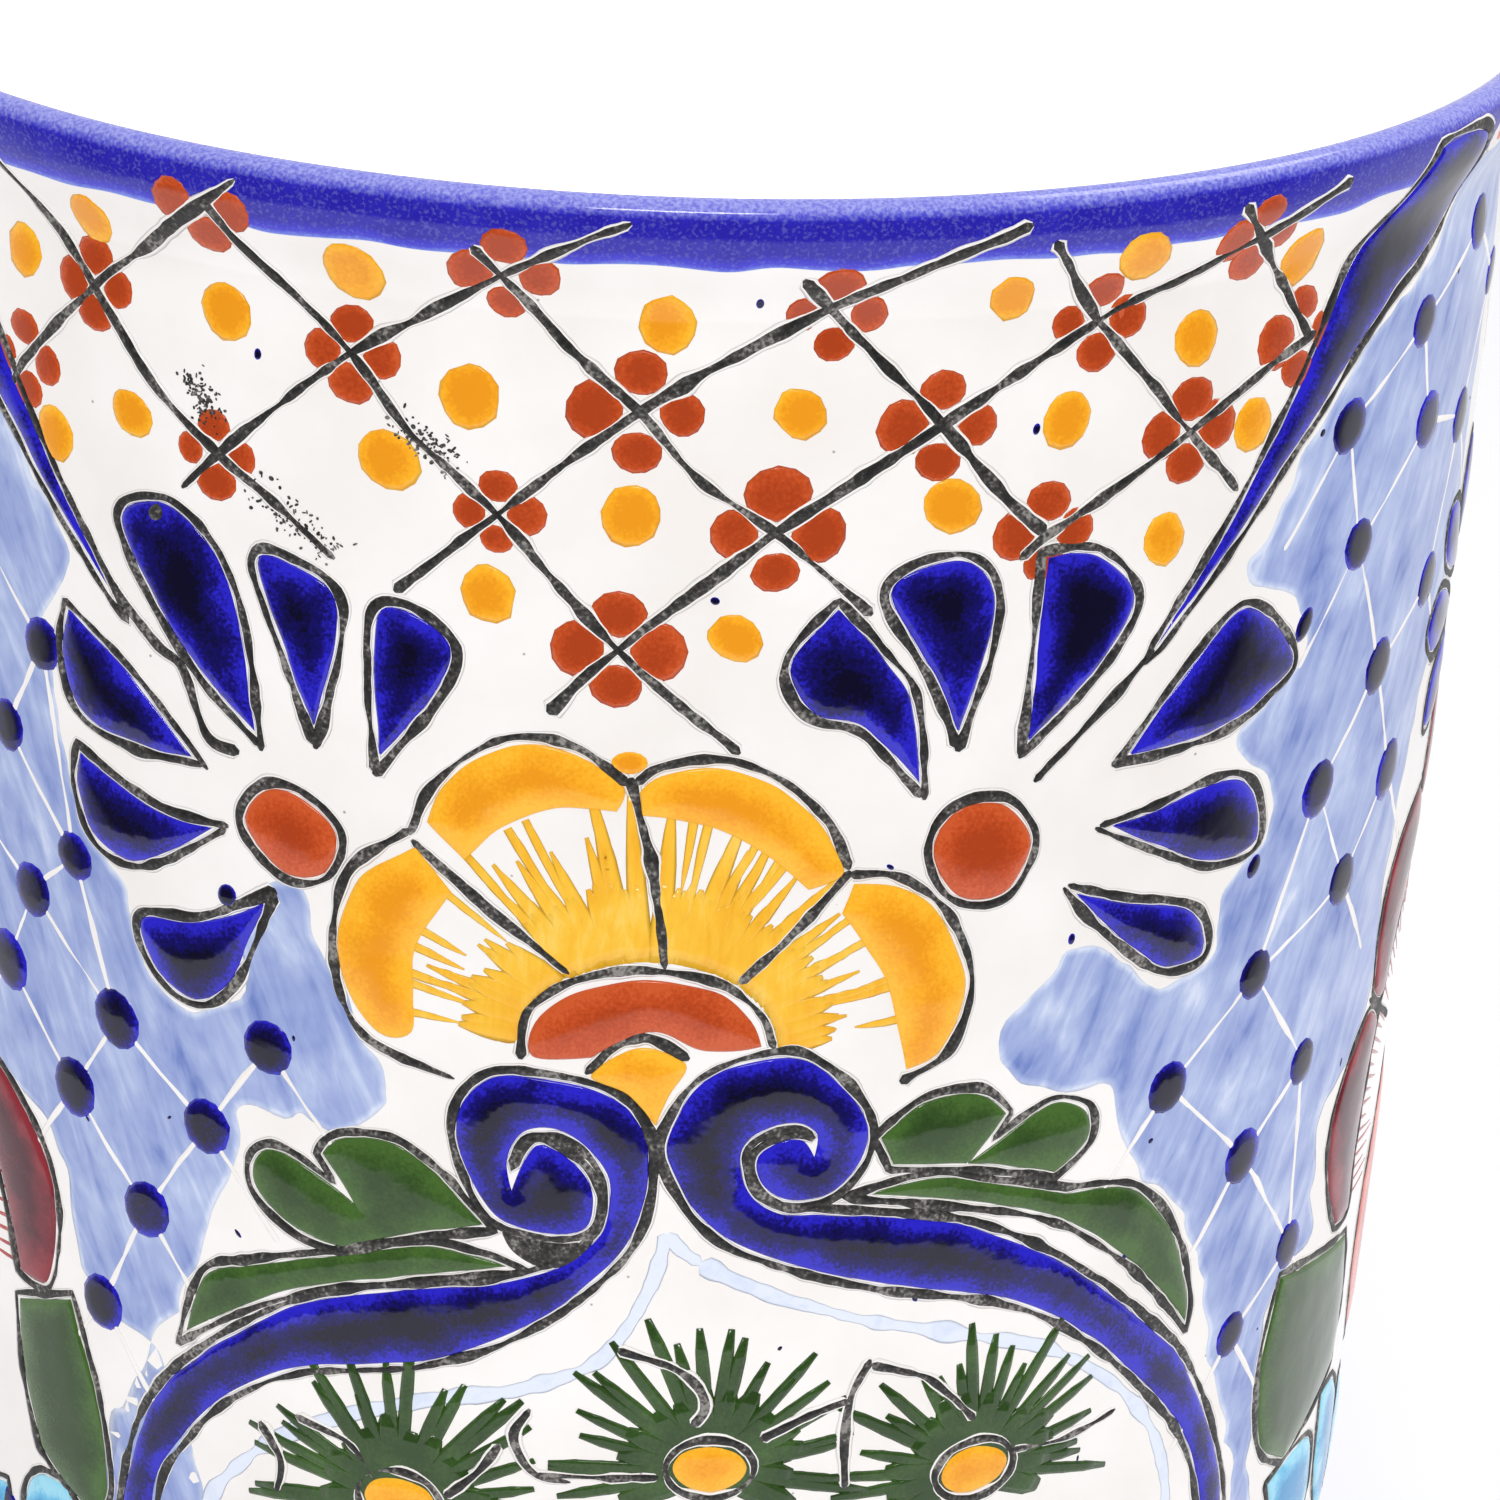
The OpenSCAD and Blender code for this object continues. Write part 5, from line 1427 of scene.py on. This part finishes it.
def paint_panel(side, along, seed):
    for name, _, material, slot in FIELDS:
        raised_fields(f"{name}_enamel_{side}", moved(DRAWN[name], along), material,
                      [f"{name}_{side}"], seed=seed)
    ringed = [o for name in ("scroll_left", "scroll_right", "leaf_left", "leaf_right",
                             "ribbon_left", "ribbon_right", "fan_eyes") for o in DRAWN[name]]
    loops = [pen_round(o) for o in ringed]
    petals = [pen_petal(o) for o in DRAWN["fan_petals"]]
    free = [smooth_path(p) for p in SUNFLOWER_LINES + RIBBON_TAILS]
    black_lines(f"outlines_{side}", moved(loops + petals + free, along),
                [True] * len(loops) + [False] * len(petals + free), OUTLINE_PEN, seed=seed)
    raised_fields(f"curl_shadow_{side}", smooth_all([CURL_SHADOW], along), brush_black,
                  (), height=0.2, seed=seed, shake=0.2, swell=0, crown=0)
    net = [smooth_path(p) for p in LATTICE_LINES]
    black_lines(f"lattice_{side}", moved(net, along), [False] * len(net), LATTICE_PEN, 0.3, 0.16,
                seed)
    stems = [smooth_path(p) for p in PLANT_STEMS]
    hearts = [pen_round(o, 1.1) for o in HEARTS]
    black_lines(f"plants_{side}", moved(stems + hearts, along),
                [False] * len(stems) + [True] * len(hearts), PLANT_PEN, 0.4, 0.3, seed)
    frame_lines = [smooth_path(p) for p in MEDALLION]
    strokes(f"pale_medallion_{side}", moved(frame_lines, along), [False] * len(frame_lines),
            pale_line, "blue_wash", 1.3, 0.025, seed)
    raised_fields(f"spiky_hearts_enamel_{side}", moved(HEARTS, along), yellow,
                  [f"spiky_hearts_{side}"], seed=seed)
    carried = np.array((along, 0, 0, 0, 0, 0))
    touched(f"spiky_leaves_enamel_{side}", plant_spikes(seed) + carried, leaf, green,
            [f"spiky_leaves_{side}"], seed, 0.06, 0.05, 0.4)
    touched(f"dabs_{side}", crossing_dabs() + carried, pear, terracotta,
            [f"lattice_dabs_{side}"], seed, 0.2, 0.3, 0.9)
    touched(f"drops_{side}", np.array([(x, -d, *DROP_TOUCH) for x, d in DROPS]) + carried,
            pear, yellow, [f"lattice_drops_{side}"], seed, 0.14, 0.6, 1.6)
    touched(f"yellow_rays_{side}", sunflower_rays(seed) + carried, hair, yellow_ray,
            (), seed, 0.1, 0.03, 0.4)
    paint_wash(f"left_of_{side}", WASH_LEFT, WASH_DOTS_LEFT, -1, along, seed)
    paint_wash(f"right_of_{side}", WASH_RIGHT, WASH_DOTS_RIGHT, 1, along, seed + 1)


paint_panel("front", 0, 1)
paint_panel("back", HALF_TURN, 2)

# %% Fields and lines of a side panel
PETAL_CREASE = (0.92, 0.8, 0.68)        # of the bloom's half size: places on a line between petals
LEAF_SHARE = 0.5        # of its width: the left panel's front leaf leaves the scroll clear
BLOOM_RAY_STEP = 1.9    # degrees


def bloom_leaves(side):
    """A side panel's two leaves. On the left panel the front one is narrower."""
    front = mirrored(BLOOM_LEAVES)
    if side == "left":
        inner = min(point[0] for point in front[0])
        front = [[(inner + (x - inner) * LEAF_SHARE, *rest) for x, *rest in outline]
                 for outline in front]
    return BLOOM_LEAVES + front


def side_fields(side):
    """Each field of a side panel: its name, outlines, enamel and slot."""
    petals = [bloom_petal(i) for i in range(BLOOM_PETALS)]
    fans = both_halves([fan_petal(turn) for turn in FAN_TURNS])
    return [("bloom_petals", petals, burgundy, "burgundy_enamel"),
            ("bloom_bud", BLOOM_BUD, salmon, "salmon_enamel"),
            ("bloom_leaves", bloom_leaves(side), green, "green_enamel"),
            ("bloom_drops", both_halves(BLOOM_DROPS), turquoise, "turquoise_enamel"),
            ("bloom_fans", fans, cobalt, "cobalt_enamel")]


def petal_creases():
    turns = [180 * i / BLOOM_PETALS for i in range(1, BLOOM_PETALS)]
    return [smooth_path([bloom_point(turn, place) for place in PETAL_CREASE]) for turn in turns]


def bloom_rays(seed):
    """Thin strokes from each petal's coloured band towards the bud."""
    dice = np.random.RandomState(seed)
    spots = []
    for angle in np.arange(3, 178, BLOOM_RAY_STEP):
        if abs(angle % (180 / BLOOM_PETALS)) < 3:
            continue
        x, d = bloom_point(angle, 0.83)
        a = math.atan2(d - BLOOM_CENTRE[1], BLOOM_CENTRE[0] - x)
        spots.append((x, -d, a, dice.uniform(8, 17), 0.4, 0.08))
    return np.array(spots)


# %% Paint a side panel


def paint_side(side, centre, seed):
    fields = side_fields(side)
    for name, shapes, material, slot in fields:
        raised_fields(f"{name}_enamel_{side}", smooth_all(shapes, centre, LEAN), material,
                      [f"{name}_{side}"], seed=seed)
    loops = [pen_round(o) for _, shapes, _, _ in fields
             for o in smooth_all(shapes, centre, LEAN)]
    free = moved(petal_creases(), centre, LEAN)
    black_lines(f"outlines_{side}", loops + free, [True] * len(loops) + [False] * len(free),
                OUTLINE_PEN, seed=seed)
    rays = bloom_rays(seed)
    rays[:, :2] = moved([rays[:, :2]], centre, LEAN)[0]
    touched(f"red_rays_{side}", rays, hair, red_ray, (), seed, 0.1, 0.05, 0.3)


paint_side("right", HALF_TURN / 2, 3)
paint_side("left", -HALF_TURN / 2, 4)

# %% [markdown]
# ## Accidents of the kiln
# A hand-made pot has stray marks: flecks of cobalt, a smudge where a sleeve touched wet black, and
# a salmon dot with a white halo on the lip. They cost little and stop the glaze looking printed.

# %% Flecks
dice = np.random.RandomState(8)
FLECKS = [(-61.3, 32.1), (57.4, 38.8), (13.8, 16.6), (72, 127.1), (-47.9, 213.7), (-33.5, 216.5)]
FLECK_COUNT = 110
BLOTS = [(-68.5, 124, 1.8, 1.6), (116.8, 82.5, 2.8, 1.7), (111, 123.6, 2.2, 1.5)]
flecks = [(x, -d, 1.5, 1.0, 0.65, 0.12) for x, d in FLECKS]
flecks += [(x, -d, 1.2, long, wide, 0.3) for x, d, long, wide in BLOTS]
flecks += [(dice.uniform(-HALF_TURN, HALF_TURN), -dice.uniform(14, 335), dice.uniform(0, 3),
            dice.uniform(0.3, 0.9), dice.uniform(0.25, 0.6), 0.1) for _ in range(FLECK_COUNT)]
touched("cobalt_flecks", flecks, bead, cobalt)

# %% Smudges of black
SMUDGES = [((-73, 38), (-69, 44)), ((-62, 54), (-49, 62)), ((-39, 40), (-30, 45))]
SOOT_COUNT = 120        # specks in each smudge
soot_spots = []
for (x1, d1), (x2, d2) in SMUDGES:
    for t in dice.uniform(0, 1, SOOT_COUNT):
        soot_spots.append((x1 + (x2 - x1) * t + dice.normal(0, 1.5), -(d1 + (d2 - d1) * t)
                           + dice.normal(0, 1.5), dice.uniform(0, 3), dice.uniform(0.1, 0.45),
                           dice.uniform(0.1, 0.35), 0.12))
soot_spots.append((-80, -61.6, 0.8, 1.7, 1.4, 0.95))
touched("black_smudges", soot_spots, bead, brush_black)

# %% The slip of yellow and the dot on the lip
touched("yellow_slip", [(-2.6, -91.6, 0.1, 3.0, 2.0, 0.25)], bead, yellow)
LIP_DOT = (155.5, -7.2, 0.8)    # place and turn
touched("lip_dot_halo", [(*LIP_DOT, 5.2, 4.2, 0.12)], bead, tin_glaze)
touched("lip_dot", [(*LIP_DOT, 3.0, 2.5, 0.3)], bead, salmon)
for made in (bead, pear, leaf, hair):
    bpy.data.objects.remove(made)
